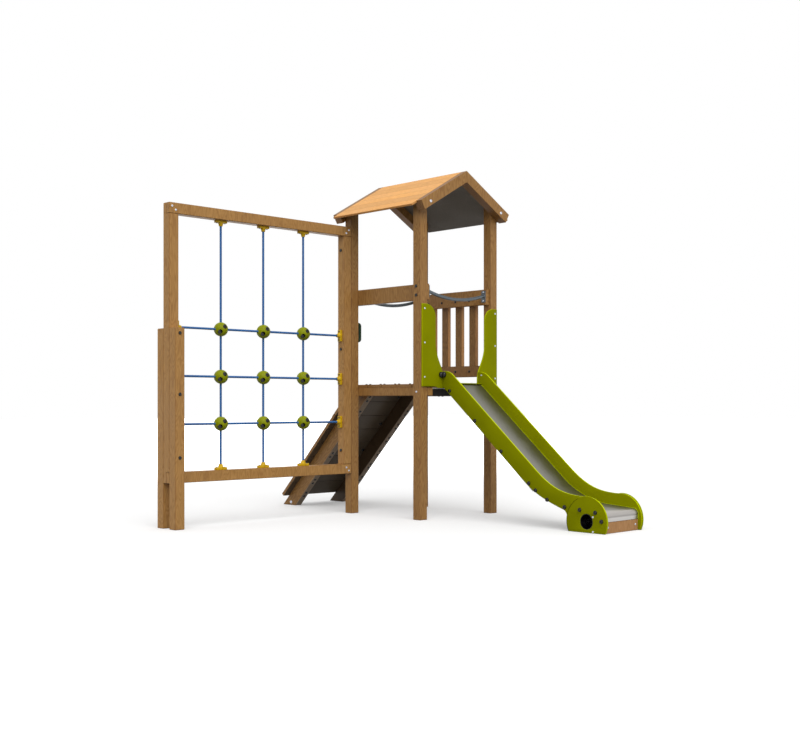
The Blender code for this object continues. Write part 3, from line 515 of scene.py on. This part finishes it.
def slideOutline(look):
    slope = tan(slideAngle)
    lower = look["upper"] - look["width"] / cos(slideAngle)
    start, shoulder = look["start"], look["shoulder"]
    corner = (look["upper"] - shoulder) / slope - look["shoulderRadius"] * tan(slideAngle / 2)
    x, z, radius, sole = foot["x"], foot["z"], look["footRadius"], look["sole"]
    knots = [knot(start, lower - start * slope), knot(start, shoulder)]
    knots += turnKnots(corner, shoulder - look["shoulderRadius"], look["shoulderRadius"], 90, 50, 1)
    pull = (x - look["topBend"]) * look["topPull"]
    top = (look["topBend"], look["upper"] - look["topBend"] * slope)
    knots.append(knot(*top, ahead=(pull * cos(slideAngle), -pull * sin(slideAngle))))
    toe = turnKnots(x, z, radius, 90, -sole, 2)
    toe[0] = knot(*toe[0][0], back=(-pull, 0), ahead=Vector(toe[0][2]) - Vector(toe[0][0]))
    knots += toe
    back = turnKnots(x, z, radius, 180 + sole, look["heelStart"], 1)
    rise, turn = look["heelPull"], look["heelTurn"]
    back[-1] = knot(*back[-1][0], back=Vector(back[-1][1]) - Vector(back[-1][0]),
                    ahead=(-rise * look["heelLean"], rise))
    knots += back
    low = (look["lowBend"], lower - look["lowBend"] * slope)
    reach = look["heel"][0] - low[0]
    ahead, up, behind = [reach * share for share in look["underHandles"]]
    knots.append(knot(*look["heel"], back=(turn, -turn * look["heelDrop"]), ahead=(-ahead, up)))
    knots.append(knot(*low, back=(behind, -behind * slope)))
    return knots


holeKnots = turnKnots(foot["x"], foot["z"], slideSide["hole"], 0, 360, 4)[:-1]
holePull = slideSide["hole"] * 0.5523  # the handle of a quarter circle, as a share of its radius
holeKnots[0] = knot(*holeKnots[0][0], back=(0, -holePull), ahead=(0, holePull))
sole = slideSide["plateSole"]
plateKnots = turnKnots(foot["x"], foot["z"], foot["plateRadius"], -sole, 180 + sole, 4)
for end, side in ends:
    thick, plate, roundness = slideSide["thick"], slideSide["plate"], slideSide["roundness"]
    start = slideSide["face"] if side > 0 else -slideSide["face"] - thick
    bm = cutSheet([slideOutline(slideSide), holeKnots], thick, roundness, "XZ", start)
    addPiece("slide_panel_" + end, bm, [oliveSheet, litOliveRim], ["slide_side_" + end])
    outside = slideSide["face"] + thick + slideSide["gap"]
    start = outside if side > 0 else -outside - plate
    bm = cutSheet([plateKnots, holeKnots], plate, roundness, "XZ", start)
    addPiece("foot_panel_" + end, bm, [plateSheet, litOliveRim], ["slide_foot_plate_" + end])

entry = {
    "outside": 0.489, "inside": 0.322, "slideFace": 0.223, "bottom": 1.180, "low": 1.167, "top": 1.911,
    "radius": 0.115, "flareTop": 1.560, "flareBottom": 1.290, "start": 0.5053, "thick": 0.0147,
    "roundness": 0.003, "flarePull": 0.110, "lowPull": (0.014, 0.070), "footRun": (0.066, 0.099),
}


def entryOutline(look, side):
    inside, face = look["inside"], look["slideFace"]
    knots = [knot(look["outside"], look["bottom"]), knot(look["outside"], look["top"])]
    knots += turnKnots(inside + look["radius"], look["top"] - look["radius"], look["radius"], 90, 180, 1)
    knots.append(knot(inside, look["flareTop"], ahead=(0, -look["flarePull"])))
    knots.append(knot(face + 0.004, look["flareBottom"], back=look["lowPull"]))
    knots += [knot(face, look["flareBottom"] - 0.030), knot(face, look["low"]),
              knot(face + look["footRun"][0], look["low"]), knot(face + look["footRun"][1], look["bottom"])]
    return [tuple((side * u, v) for u, v in point) for point in knots]


for end, side in ends:
    bm = cutSheet([entryOutline(entry, side)], entry["thick"], entry["roundness"], "YZ", entry["start"])
    addPiece("entry_sheet_" + end, bm, [oliveSheet, litOliveRim], ["entry_panel_" + end])
print("slide sides and entry panels cut")

chute = {
    "half": 0.2227, "sheet": 0.003, "flange": 0.055, "tailX": 0.489, "tailZ": 1.1658, "cornerX": 0.563,
    "exitZ": 0.175, "lipX": 2.304, "lipRadius": 0.029, "lipLow": 0.0923, "flatSlope": radians(4),
    "bead": 0.003, "flangeX": (0.58, 1.62),
}


def roundOff(bm, edges, offset, steps):
    bmesh.ops.bevel(bm, geom=edges, affect="EDGES", offset=offset, segments=steps, profile=0.5, material=-1)


def chuteStrip(look, near, far):
    # The sliding surface as a strip between two distances across the slide
    slope, drop = tan(slideAngle), tan(look["flatSlope"])
    surface = tower["deck"] + look["cornerX"] * slope
    lipZ = look["exitZ"] - look["lipRadius"] * drop
    valleyX = (surface - lipZ - look["lipX"] * drop) / (slope - drop)
    # Each point of the strip: x, z, how far its bend is rounded and in how many steps
    line = [(look["tailX"], look["tailZ"], 0, 0), (look["tailX"], tower["deck"], 0.005, 3),
            (look["cornerX"], tower["deck"], 0.0218, 6), (valleyX, surface - valleyX * slope, 0.245, 16),
            (look["lipX"], lipZ, 0.036, 3), (look["lipX"], look["lipLow"], 0, 0)]
    bm = bmesh.new()
    row = [bm.verts.new((x, near, z)) for x, z, offset, steps in line]
    edges = [bm.edges.new(pair) for pair in zip(row, row[1:])]
    moved = newVerts(bmesh.ops.extrude_edge_only(bm, edges=edges))
    bmesh.ops.translate(bm, verts=moved, vec=(0, far - near, 0))
    for x, z, offset, steps in line:
        if offset:
            bend = [edge for edge in bm.edges
                    if all((vert.co.x - x) ** 2 + (vert.co.z - z) ** 2 < 1e-8 for vert in edge.verts)]
            roundOff(bm, bend, offset, steps)
    return bm


def faceUp(bm):
    faceOut(bm)
    if max(bm.faces, key=lambda face: face.calc_area()).normal.z < 0:
        bmesh.ops.reverse_faces(bm, faces=bm.faces)


def makeChute(look):
    bm = chuteStrip(look, -look["half"], look["half"])
    # Both long edges turn down along the slope, where the side bolts hold them
    high, low = look["flangeX"]
    slopeEdges = [edge for edge in bm.edges
                  if edge.is_boundary and abs(edge.verts[0].co.y - edge.verts[1].co.y) < 1e-5
                  and all(high < vert.co.x < low for vert in edge.verts)]
    lowered = newVerts(bmesh.ops.extrude_edge_only(bm, edges=slopeEdges))
    drop = Vector((-sin(slideAngle), 0, -cos(slideAngle))) * look["flange"]
    bmesh.ops.translate(bm, verts=lowered, vec=drop)
    faceUp(bm)
    bmesh.ops.solidify(bm, geom=bm.faces[:], thickness=look["sheet"])
    return bm


addPiece("chute_sheet", makeChute(chute), [stainless], ["slide_chute"], sharp=20)
for end, side in ends:
    near, far = sorted((side * chute["half"], side * (chute["half"] - chute["bead"])))
    bm = chuteStrip(chute, near, far)
    faceUp(bm)
    bmesh.ops.solidify(bm, geom=bm.faces[:], thickness=-chute["bead"])
    addPiece("chute_bead_" + end, bm, [litOliveRim])

# A black tube through the foot hole: a dark piece standing in for the shade inside the hole
holeShadeTube = {"radius": 0.0622, "wall": 0.003, "reach": 0.2470}
bm = bmesh.new()
place = placed((foot["x"], -holeShadeTube["reach"], foot["z"]), -pi / 2, "X")
bmesh.ops.create_circle(bm, cap_ends=False, segments=48, radius=holeShadeTube["radius"], matrix=place)
drawn = newVerts(bmesh.ops.extrude_edge_only(bm, edges=bm.edges[:]))
bmesh.ops.translate(bm, verts=drawn, vec=(0, 2 * holeShadeTube["reach"], 0))
faceOut(bm)
bmesh.ops.solidify(bm, geom=bm.faces[:], thickness=holeShadeTube["wall"])
addPiece("foot_shade_tube", bm, [blackCap])
print("chute rolled")


def tubeAlong(points, radius, sides):
    curve = bpy.data.curves.new("tube", "CURVE")
    curve.dimensions = "3D"
    curve.bevel_depth = radius
    curve.bevel_resolution = sides
    curve.use_fill_caps = True
    spline = curve.splines.new("POLY")
    spline.points.add(len(points) - 1)
    for point, at in zip(spline.points, points):
        point.co = (*at, 1)
    return curveMesh(curve, Matrix.Identity(4))


def addTo(bm, part, place=Matrix.Identity(4)):
    # Puts a finished part into a larger bmesh
    bmesh.ops.transform(part, matrix=place, verts=part.verts)
    mesh = toMesh("part", part)
    bm.from_mesh(mesh)
    bpy.data.meshes.remove(mesh)


def block(low, high, roundness, steps=2, axis=None, corner=0.0):
    # A block with rounded edges; corner rounds the four edges along an axis first
    bm = bmesh.new()
    middle = [(a + b) / 2 for a, b in zip(low, high)]
    size = [b - a for a, b in zip(low, high)]
    bmesh.ops.create_cube(bm, size=1.0, matrix=Matrix.Translation(middle) @ Matrix.Diagonal(size + [1.0]))
    edges = bm.edges[:]
    if corner:
        run = {edge: abs(edge.verts[0].co[axis] - edge.verts[1].co[axis]) for edge in bm.edges}
        roundOff(bm, [edge for edge in bm.edges if run[edge] > size[axis] / 2], corner, 5)
        edges = [edge for edge in bm.edges if edge.calc_face_angle(0) > 1.0
                 and abs(edge.verts[0].co[axis] - edge.verts[1].co[axis]) < 1e-6]
    roundOff(bm, edges, roundness, steps)
    return bm


def spun(profile, steps):
    # A profile of (radius, height) turned once round Z
    bm = bmesh.new()
    row = [bm.verts.new((radius, 0, height)) for radius, height in profile]
    edges = [bm.edges.new(pair) for pair in zip(row, row[1:])]
    bmesh.ops.spin(bm, geom=row + edges, cent=(0, 0, 0), axis=(0, 0, 1), angle=2 * pi, steps=steps,
                   use_merge=True)
    bmesh.ops.remove_doubles(bm, verts=bm.verts, dist=0.00001)
    faceOut(bm)
    return bm


bar = {"radius": 0.015, "endY": 0.3667, "endZ": 2.030, "sag": 0.053, "lead": 0.012, "steps": 36,
       "flangeY": 0.3697, "flangeThick": 0.006, "flangeZ": 2.028, "flangeHeight": 0.110, "flangeWidth": 0.050,
       "corner": 0.010, "weld": [(0.0150, 0.0045), (0.0168, 0.0038), (0.0182, 0.0018), (0.0188, -0.0005)]}
for name, x in (("slide_side", tower["half"]), ("ramp_side", -tower["half"])):
    reach = bar["endY"] - bar["lead"]
    points = [(x, -bar["endY"], bar["endZ"])]
    for number in range(bar["steps"] + 1):
        share = 2 * number / bar["steps"] - 1
        points.append((x, reach * share, bar["endZ"] - bar["sag"] * (1 - share ** 2)))
    points.append((x, bar["endY"], bar["endZ"]))
    bm = tubeAlong(points, bar["radius"], 6)
    for side in (-1, 1):
        near, far = sorted((side * bar["flangeY"], side * (bar["flangeY"] - bar["flangeThick"])))
        low = (x - bar["flangeWidth"] / 2, near, bar["flangeZ"] - bar["flangeHeight"] / 2)
        high = (x + bar["flangeWidth"] / 2, far, bar["flangeZ"] + bar["flangeHeight"] / 2)
        addTo(bm, block(low, high, 0.001, 2, 1, bar["corner"]))
        face = side * (bar["flangeY"] - bar["flangeThick"])
        addTo(bm, spun(bar["weld"], 24), placed((x, face, bar["endZ"]), side * pi / 2, "X"))
    addPiece("guard_bar_" + name, bm, [barSteel], ["safety_bar_" + name])

grip = {"face": 0.4147, "low": 1.606, "high": 1.792, "reach": 0.065, "plate": 0.018, "bar": 0.028,
        "outer": 0.034, "inner": 0.014, "thick": 0.030, "roundness": 0.011}


def gripOutlines(look, side):
    found = []
    for start, inset, radius in ((0, 0, look["outer"]), (look["plate"], look["bar"], look["inner"])):
        low, high, reach = look["low"] + inset, look["high"] - inset, look["reach"] - inset
        knots = [knot(start, high), knot(start, low)]
        knots += turnKnots(reach - radius, low + radius, radius, -90, 0, 1)
        knots += turnKnots(reach - radius, high - radius, radius, 0, 90, 1)
        found.append([tuple((side * (look["face"] - u), v) for u, v in point) for point in knots])
    return found


for end, side in ends:
    start = -tower["half"] - grip["thick"] / 2
    bm = cutSheet(gripOutlines(grip, side), grip["thick"], grip["roundness"], "YZ", start)
    for face in bm.faces:
        face.material_index = 0
    addPiece("grip_loop_" + end, bm, [gripPlastic], ["hand_grip_" + end])

angle = {"x": 0.5203, "y": 0.2383, "leg": 0.045, "height": 0.040, "thick": 0.003, "z": 1.287,
         "offset": 0.0235, "corner": 0.012,
         "cap": [(0.0, 0.0), (0.0240, 0.0), (0.0255, 0.004), (0.0252, 0.0105), (0.0228, 0.0175),
                 (0.0172, 0.0225), (0.0092, 0.0250), (0.0, 0.0255)]}
for end, side in ends:
    low, high = angle["z"] - angle["height"] / 2, angle["z"] + angle["height"] / 2
    x, y, leg, thick = angle["x"], side * angle["y"], angle["leg"], angle["thick"]
    near, far = sorted((y, y + side * thick))
    bm = block((x, near, low), (x + leg, far, high), 0.001, 1, 1, angle["corner"])
    near, far = sorted((y, y + side * leg))
    addTo(bm, block((x, near, low), (x + thick, far, high), 0.001, 1, 0, angle["corner"]))
    outward = (x + angle["offset"], y + side * thick * 0.5, angle["z"])
    onward = (x + thick * 0.5, y + side * angle["offset"], angle["z"])
    addTo(bm, spun(angle["cap"], 28), placed(outward, -side * pi / 2, "X"))
    addTo(bm, spun(angle["cap"], 28), placed(onward, pi / 2, "Y"))
    addPiece("corner_caps_" + end, bm, [blackCap], ["entry_angle_" + end])
print("bars, grips and corner caps made")

net = {"columns": (-1.040, -1.485, -1.930), "rows": (0.857, 1.257, 1.660), "back": -0.4635,
       "front": -0.4620, "low": 0.464, "high": 2.587, "far": -2.375, "near": -0.595}
rope = {"radius": 0.010, "lobes": 6, "depth": 0.0006, "pitch": 0.095, "step": 0.0075, "setIn": 0.004}
bracket = {"length": 0.107, "width": 0.041, "plate": 0.022, "screws": 0.040, "corner": 0.003, "gap": 0.0003,
           "boss": [(0.0, 0.003), (0.0230, 0.003), (0.0250, 0.0200), (0.0250, 0.0228), (0.0225, 0.0275),
                    (0.0195, 0.0330), (0.0175, 0.0400), (0.0168, 0.0460), (0.0148, 0.0492), (0.0115, 0.0500),
                    (0.0104, 0.0480), (0.0102, 0.0440), (0.0, 0.0440)]}
ropeLook = {"deep": tint(52, 94, 150), "colour": tint(60, 108, 167), "bright": tint(70, 120, 180),
            "strands": rope["lobes"], "turns": 2 * pi * rope["lobes"] / rope["pitch"]}


def makeRopeMesh(look, start, end):
    length = (end - start).length
    bm = bmesh.new()
    count = look["lobes"] * 4
    bmesh.ops.create_circle(bm, segments=count, radius=look["radius"])
    for number, vert in enumerate(bm.verts):
        inward = look["depth"] * (1 - cos(2 * pi * number * look["lobes"] / count)) / 2
        vert.co *= (look["radius"] - inward) / look["radius"]
    steps = int(length / look["step"])
    bmesh.ops.spin(bm, geom=bm.verts[:] + bm.edges[:], cent=(0, 0, 0), axis=(0, 0, 1), steps=steps,
                   dvec=(0, 0, length / steps), angle=2 * pi * length / look["pitch"], use_merge=False)
    bmesh.ops.holes_fill(bm, edges=[edge for edge in bm.edges if edge.is_boundary])
    faceOut(bm)
    turn = (end - start).to_track_quat("Z", "Y").to_matrix().to_4x4()
    bmesh.ops.transform(bm, matrix=Matrix.Translation(start) @ turn, verts=bm.verts)
    return bm


def makeBracket(look, place, along, up):
    half, wide = look["length"] / 2, look["width"] / 2
    bm = block((-half, -wide, 0), (half, wide, look["plate"]), 0.0015, 2, 2, look["corner"])
    addTo(bm, spun(look["boss"], 24))
    side = Vector(up).cross(Vector(along))
    turn = Matrix((along, side, up)).transposed().to_4x4()
    seat = Vector(place) + Vector(up) * look["gap"]
    bmesh.ops.transform(bm, matrix=Matrix.Translation(seat) @ turn, verts=bm.verts)
    return bm


studs = {}


def stud(kind, place, direction):
    studs.setdefault(kind, []).append((Vector(place), Vector(direction)))


def hangRope(name, start, end, along):
    start, end = Vector(start), Vector(end)
    up = (end - start).normalized()
    middle = (start + end) / 2 + towerMiddle
    braid = makeRope("ropeBraid_" + name, abs(up.z) > 0.5, middle, ropeLook)
    setIn = up * rope["setIn"]
    bm = makeRopeMesh(rope, start + setIn, end - setIn)
    addPiece("net_" + name, bm, [braid], ["rope_" + name])
    for tail, place, away in (("start", start, up), ("end", end, -up)):
        bm = makeBracket(bracket, place, along, away)
        addPiece("bracket_%s_%s" % (name, tail), bm, [yellowPlastic])
        for side in (-1, 1):
            spot = place + away * bracket["plate"] + Vector(along) * side * bracket["screws"]
            stud("bracketScrew", spot, away)


for number, y in enumerate(net["columns"], 1):
    hangRope("upright_%d" % number, (net["back"], y, net["low"]), (net["back"], y, net["high"]), (0, 1, 0))
for number, z in enumerate(net["rows"], 1):
    hangRope("level_%d" % number, (net["front"], net["far"], z), (net["front"], net["near"], z), (0, 0, 1))
print("ropes strung")

# wellDepth is how far a well's floor lies from the seam, drill the length of what cuts it
ball = {"radius": 0.0605, "seam": 0.0007, "rim": 0.0014, "well": 0.0190, "wellDepth": 0.036, "drill": 0.060,
        "across": 0.0204, "up": 0.0222, "turn": radians(-18), "head": 0.0170, "headHeight": 0.009}


def halfBall(look, side):
    bm = bmesh.new()
    bmesh.ops.create_uvsphere(bm, u_segments=48, v_segments=26, radius=look["radius"],
                              matrix=Matrix.Rotation(pi / 2, 4, "Y"))
    bmesh.ops.bisect_plane(bm, geom=bm.verts[:] + bm.edges[:] + bm.faces[:], clear_inner=True,
                           plane_co=(side * look["seam"], 0, 0), plane_no=(side, 0, 0))
    bmesh.ops.holes_fill(bm, edges=[edge for edge in bm.edges if edge.is_boundary])
    rim = [edge for edge in bm.edges if all(abs(vert.co.x) < look["seam"] * 1.5 for vert in edge.verts)]
    roundOff(bm, rim, look["rim"], 2)
    faceOut(bm)
    item = toScene("half", toMesh("half", bm))
    cutters = []
    for sign in (-1, 1):
        drill = bmesh.new()
        middle = (side * (look["wellDepth"] + look["drill"] / 2), sign * look["across"], sign * look["up"])
        bmesh.ops.create_cone(drill, cap_ends=True, segments=28, radius1=look["well"], radius2=look["well"],
                              depth=look["drill"], matrix=placed(middle, pi / 2, "Y"))
        cutter = toScene("drill", toMesh("drill", drill))
        step = item.modifiers.new("well", "BOOLEAN")
        step.operation, step.solver, step.object = "DIFFERENCE", "EXACT", cutter
        cutters.append(cutter)
    bpy.context.view_layer.update()
    result = bmesh.new()
    result.from_object(item, bpy.context.evaluated_depsgraph_get())
    for thing in cutters + [item]:
        bpy.data.objects.remove(thing)
    for face in result.faces:
        middle = face.calc_center_median()
        inWell = side * middle.x > look["wellDepth"] - 0.002 and middle.length < look["radius"] - 0.0015
        face.material_index = 1 if inWell else 0
    return result


def boltInWell(look, side, sign):
    radius, height = look["head"], look["headHeight"]
    head = spun([(0.0, height * 0.4), (radius * 0.42, height * 0.4), (radius * 0.46, height),
                 (radius * 0.86, height), (radius, height * 0.8), (radius, -0.001), (0.0, -0.001)], 24)
    for face in head.faces:
        face.material_index = 1
    place = (side * look["wellDepth"], sign * look["across"], sign * look["up"])
    return head, placed(place, side * pi / 2, "Y")


whole = bmesh.new()
for side in (-1, 1):
    addTo(whole, halfBall(ball, side))
    for sign in (-1, 1):
        addTo(whole, *boltInWell(ball, side, sign))
bmesh.ops.rotate(whole, verts=whole.verts, cent=(0, 0, 0), matrix=Matrix.Rotation(ball["turn"], 3, "Z"))
ballMesh = toMesh("clampBall", whole)
for column, y in enumerate(net["columns"], 1):
    for row, z in enumerate(net["rows"], 1):
        bm = bmesh.new()
        bm.from_mesh(ballMesh)
        bmesh.ops.translate(bm, verts=bm.verts, vec=(-tower["half"], y, z))
        tail = "_%d_%d" % (column, row)
        addPiece("clamp_ball" + tail, bm, [ballPlastic, blackCap], ["rope_ball" + tail])
print("clamp balls made")

black, zinc = (blackCap, "black_plastic"), (brightZinc, "bar_steel")
# kind: radius, height, depth of the socket, material with its slot
headKinds = {
    "postCap": (0.0150, 0.009, 0.0, black),
    "slatBolt": (0.0120, 0.007, 0.0025, black),
    "slideBolt": (0.0175, 0.012, 0.0040, black),
    "hangerBolt": (0.0110, 0.006, 0.0, black),
    "rampBolt": (0.0125, 0.008, 0.0, black),
    "cleatBolt": (0.0170, 0.013, 0.004, black),
    "bracketScrew": (0.0080, 0.005, 0.0020, black),
    "frameBolt": (0.0100, 0.006, 0.0025, zinc),
    "panelScrew": (0.0090, 0.004, 0.0018, zinc),
    "flangeBolt": (0.0080, 0.006, 0.0025, zinc),
    "roofBolt": (0.0140, 0.006, 0.0025, zinc),
    "rampFootBolt": (0.0160, 0.008, 0.0030, zinc),
    "deckScrew": (0.0110, 0.006, 0.0, black),
}
towardX, towardY, towardZ = Vector((1, 0, 0)), Vector((0, 1, 0)), Vector((0, 0, 1))
half, outer, inner, deck = tower["half"], tower["outer"], tower["inner"], tower["deck"]

# kind, places along X, Y and Z, direction: a bolt stands at every mix of the places
mixes = (
    ("postCap", (0.457,), (-outer,), (2.066, 1.987), -towardY),
    ("postCap", (-0.457, 0.457), (outer,), (2.066, 1.987, 1.3355), towardY),
    ("postCap", (-half,), (-0.595,), (2.457, 1.535, 0.593), -towardY),
    ("postCap", (-half,), (-inner,), (2.457, 1.535, 0.593), towardY),
    ("postCap", (-half - 0.1353,), (-2.42,), (1.604, 1.104, 0.587), -towardX),
    ("postCap", (-half + 0.1353,), (-2.42,), (1.604, 1.104, 0.587), towardX),
    ("slatBolt", (-0.273, -0.091, 0.091, 0.273), (0.370,), (2.000, 1.331), -towardY),
    ("frameBolt", (half,), (-outer,), (1.133,), -towardY),
    ("frameBolt", (-half, half), (outer,), (1.133,), towardY),
)
for kind, xs, ys, zs, direction in mixes:
    for place in product(xs, ys, zs):
        stud(kind, place, direction)

# Bolts at the corners of the net's frame, as (y, z)
for y, z in ((-2.437, 2.647), (-2.403, 2.618), (-0.538, 2.647), (-0.568, 2.616), (-0.568, 0.433),
             (-0.538, 0.404)):
    stud("frameBolt", (-inner, y, z), towardX)

# How far along and up the ramp its bolts are: two to a board, one to a cleat. The cleats' bolts
# are further from the ground by depth, square to the slope.
rampBolts = {"start": -1.46268, "first": 0.165, "pitch": 0.1925, "shift": 0.0265, "boards": 8,
             "cleatFirst": 0.255, "cleatPitch": 0.3843, "cleats": 4, "depth": 0.1453}
rise, depth, start = cos(rampAngle), rampBolts["depth"] * cos(rampAngle), rampBolts["start"]
boardsUp = [(rampBolts["first"] + rampBolts["pitch"] * number + shift) * rise
            for number in range(rampBolts["boards"]) for shift in (-rampBolts["shift"], rampBolts["shift"])]
cleatsUp = [(rampBolts["cleatFirst"] + rampBolts["cleatPitch"] * number) * rise
            for number in range(rampBolts["cleats"])]
joints, besideJoint = (-0.29475, -0.09825, 0.09825, 0.29475), 0.026
slopeDown = Vector(slopeUnder)

# kind, distance from the middle to both sides, (x, z) of each bolt, direction on the rear side
pairs = (
    ("rampFootBolt", 0.342, ((-1.536, 0.030),), towardY),
    ("panelScrew", 0.461, ((0.520, 1.869), (0.520, 1.567), (0.520, 1.263)), towardX),
    ("panelScrew", 0.223, ((0.566, 1.287),), -towardY),
    ("panelScrew", 0.186, ((2.303, 0.050),), towardX),
    ("panelScrew", 0.2473, ((2.203, 0.129), (2.203, 0.012)), towardY),
    ("panelScrew", 0.113, ((0.545, 1.2143),), towardZ),
    ("slideBolt", 0.238, ((0.608, 1.140), (0.915, 0.878), (1.221, 0.621), (1.530, 0.364), (1.603, 0.309),
                          (1.728, 0.239), (1.910, 0.190)), towardY),
    ("slideBolt", 0.2473, ((2.072, 0.179), (2.226, 0.166), (2.288, 0.099)), towardY),
    ("hangerBolt", 0.187, ((0.470, 1.096),), -towardZ),
    ("hangerBolt", 0.235, ((0.470, 1.096),), -towardZ),
    ("deckScrew", 0.400, [(x + shift, deck) for x, shift in product(joints, (-besideJoint, besideJoint))],
     towardZ),
    ("roofBolt", half, ((-0.5953, 2.805),), -towardX),
    ("roofBolt", half, ((0.5953, 2.805),), towardX),
    ("flangeBolt", 0.3637, tuple(product((-half, half), (1.988, 2.068))), -towardY),
    ("rampBolt", 0.311, [(start + up, up) for up in boardsUp], slopeDown),
    ("cleatBolt", 0.250, [(start + up - depth, up + depth) for up in cleatsUp], slopeDown),
)
for kind, y, places, direction in pairs:
    for side in (-1, 1):
        for x, z in places:
            stud(kind, (x, side * y, z), Vector((direction.x, side * direction.y, direction.z)))


def studHead(radius, height, socket):
    bm = bmesh.new()
    sunk = 0.001
    bmesh.ops.create_circle(bm, cap_ends=True, segments=16, radius=radius,
                            matrix=Matrix.Translation((0, 0, -sunk)))
    verts = newVerts(bmesh.ops.extrude_face_region(bm, geom=bm.faces[:]))
    bmesh.ops.translate(bm, verts=verts, vec=(0, 0, height + sunk))
    bmesh.ops.scale(bm, verts=verts, vec=(0.86, 0.86, 1))
    rim = [edge for edge in bm.edges if all(vert in verts for vert in edge.verts)]
    roundOff(bm, rim, height * 0.5, 3)
    if socket:
        top = max(bm.faces, key=lambda face: face.calc_center_median().z)
        bmesh.ops.inset_individual(bm, faces=[top], thickness=radius * 0.28)
        floors = bmesh.ops.extrude_discrete_faces(bm, faces=[top])["faces"]
        bmesh.ops.translate(bm, verts=floors[0].verts, vec=(0, 0, -socket))
    faceOut(bm)
    return bm


for kind, (radius, height, socket, (material, slotName)) in headKinds.items():
    bm = bmesh.new()
    for place, direction in studs[kind]:
        turn = direction.to_track_quat("Z", "Y").to_matrix().to_4x4()
        addTo(bm, studHead(radius, height, socket), Matrix.Translation(place) @ turn)
    addPiece(kind + "_heads", bm, [material])
print("bolts and caps fitted")

# The camera stands level and looks along the diagonal, as in the photograph
camera = toScene("camera", bpy.data.cameras.new("camera"))
camera.location = (7.352, -7.149, 1.0342)
camera.rotation_euler = (pi / 2, 0.0, pi / 4)
camera.data.lens = 52.14
camera.data.sensor_width = 36.0
camera.data.shift_x = -0.0454
camera.data.shift_y = 0.0411
camera.data.clip_end = 200.0
bpy.context.scene.camera = camera

light = {"zenith": 0.80, "horizon": 0.58, "key": 1.9, "keyAngle": radians(55), "keyFrom": (0.62, -0.36, 0.70),
         "floorBase": 0.70, "floorBounce": 0.16, "floorLift": 0.26, "farLift": 1.0, "near": 4.5, "far": 9.0}

lamp = toScene("key", bpy.data.lights.new("key", "SUN"))
lamp.data.energy = light["key"]
lamp.data.angle = light["keyAngle"]
lamp.location = Vector(light["keyFrom"]) * 10
lamp.rotation_euler = Vector(light["keyFrom"]).to_track_quat("Z", "Y").to_euler()


def shownRays(tree):
    # 1 for what the camera sees, straight or in metal, and 0 for the light that falls on the object
    rays = addNode(tree, "ShaderNodeLightPath").outputs
    return sums("MAXIMUM", sums("MAXIMUM", rays["Is Camera Ray"], rays["Is Glossy Ray"]),
                rays["Is Transmission Ray"])


bm = bmesh.new()
bmesh.ops.create_grid(bm, x_segments=1, y_segments=1, size=60.0)
bmesh.ops.translate(bm, verts=bm.verts, vec=(0, 0, -0.0005))
mesh = toMesh("floor", bm)
floor = toScene("floor", mesh)
floor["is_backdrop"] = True
material, shader, spot = startMaterial("floor", 0.9)
seen = shownRays(shader.id_data)
base = sums("MULTIPLY_ADD", seen, light["floorBase"] - light["floorBounce"], light["floorBounce"])
grey = addNode(seen.id_data, "ShaderNodeCombineColor", {0: base, 1: base, 2: base}).outputs[0]
# Away from the tower the floor is plain white to the camera, near it the shadows show
distance = arrows("LENGTH", spot["Object"])
away = spread(distance, light["near"], light["far"], light["floorLift"], light["farLift"], "SMOOTHSTEP")
setInputs(shader, {"Base Color": grey, "Specular IOR Level": 0.0, "Emission Color": (1, 1, 1, 1),
                   "Emission Strength": sums("MULTIPLY", seen, away)})
mesh.materials.append(material)

world = bpy.data.worlds.new("studio")
bpy.context.scene.world = world
world.use_nodes = True
tree = world.node_tree
# The studio is brighter overhead than round the sides
rise = splitAxes(addNode(tree, "ShaderNodeTexCoord").outputs["Generated"])["Z"]
level = spread(rise, 0.0, 1.0, light["horizon"], light["zenith"], "SMOOTHSTEP")
seen = shownRays(tree)
white = sums("SUBTRACT", 1.0, level)
strength = sums("MULTIPLY_ADD", seen, white, level)
setInputs(tree.nodes["Background"], {"Color": (1, 1, 1, 1), "Strength": strength})
bpy.context.scene.view_settings.view_transform = "Standard"
print("camera and light ready")

low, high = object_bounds()
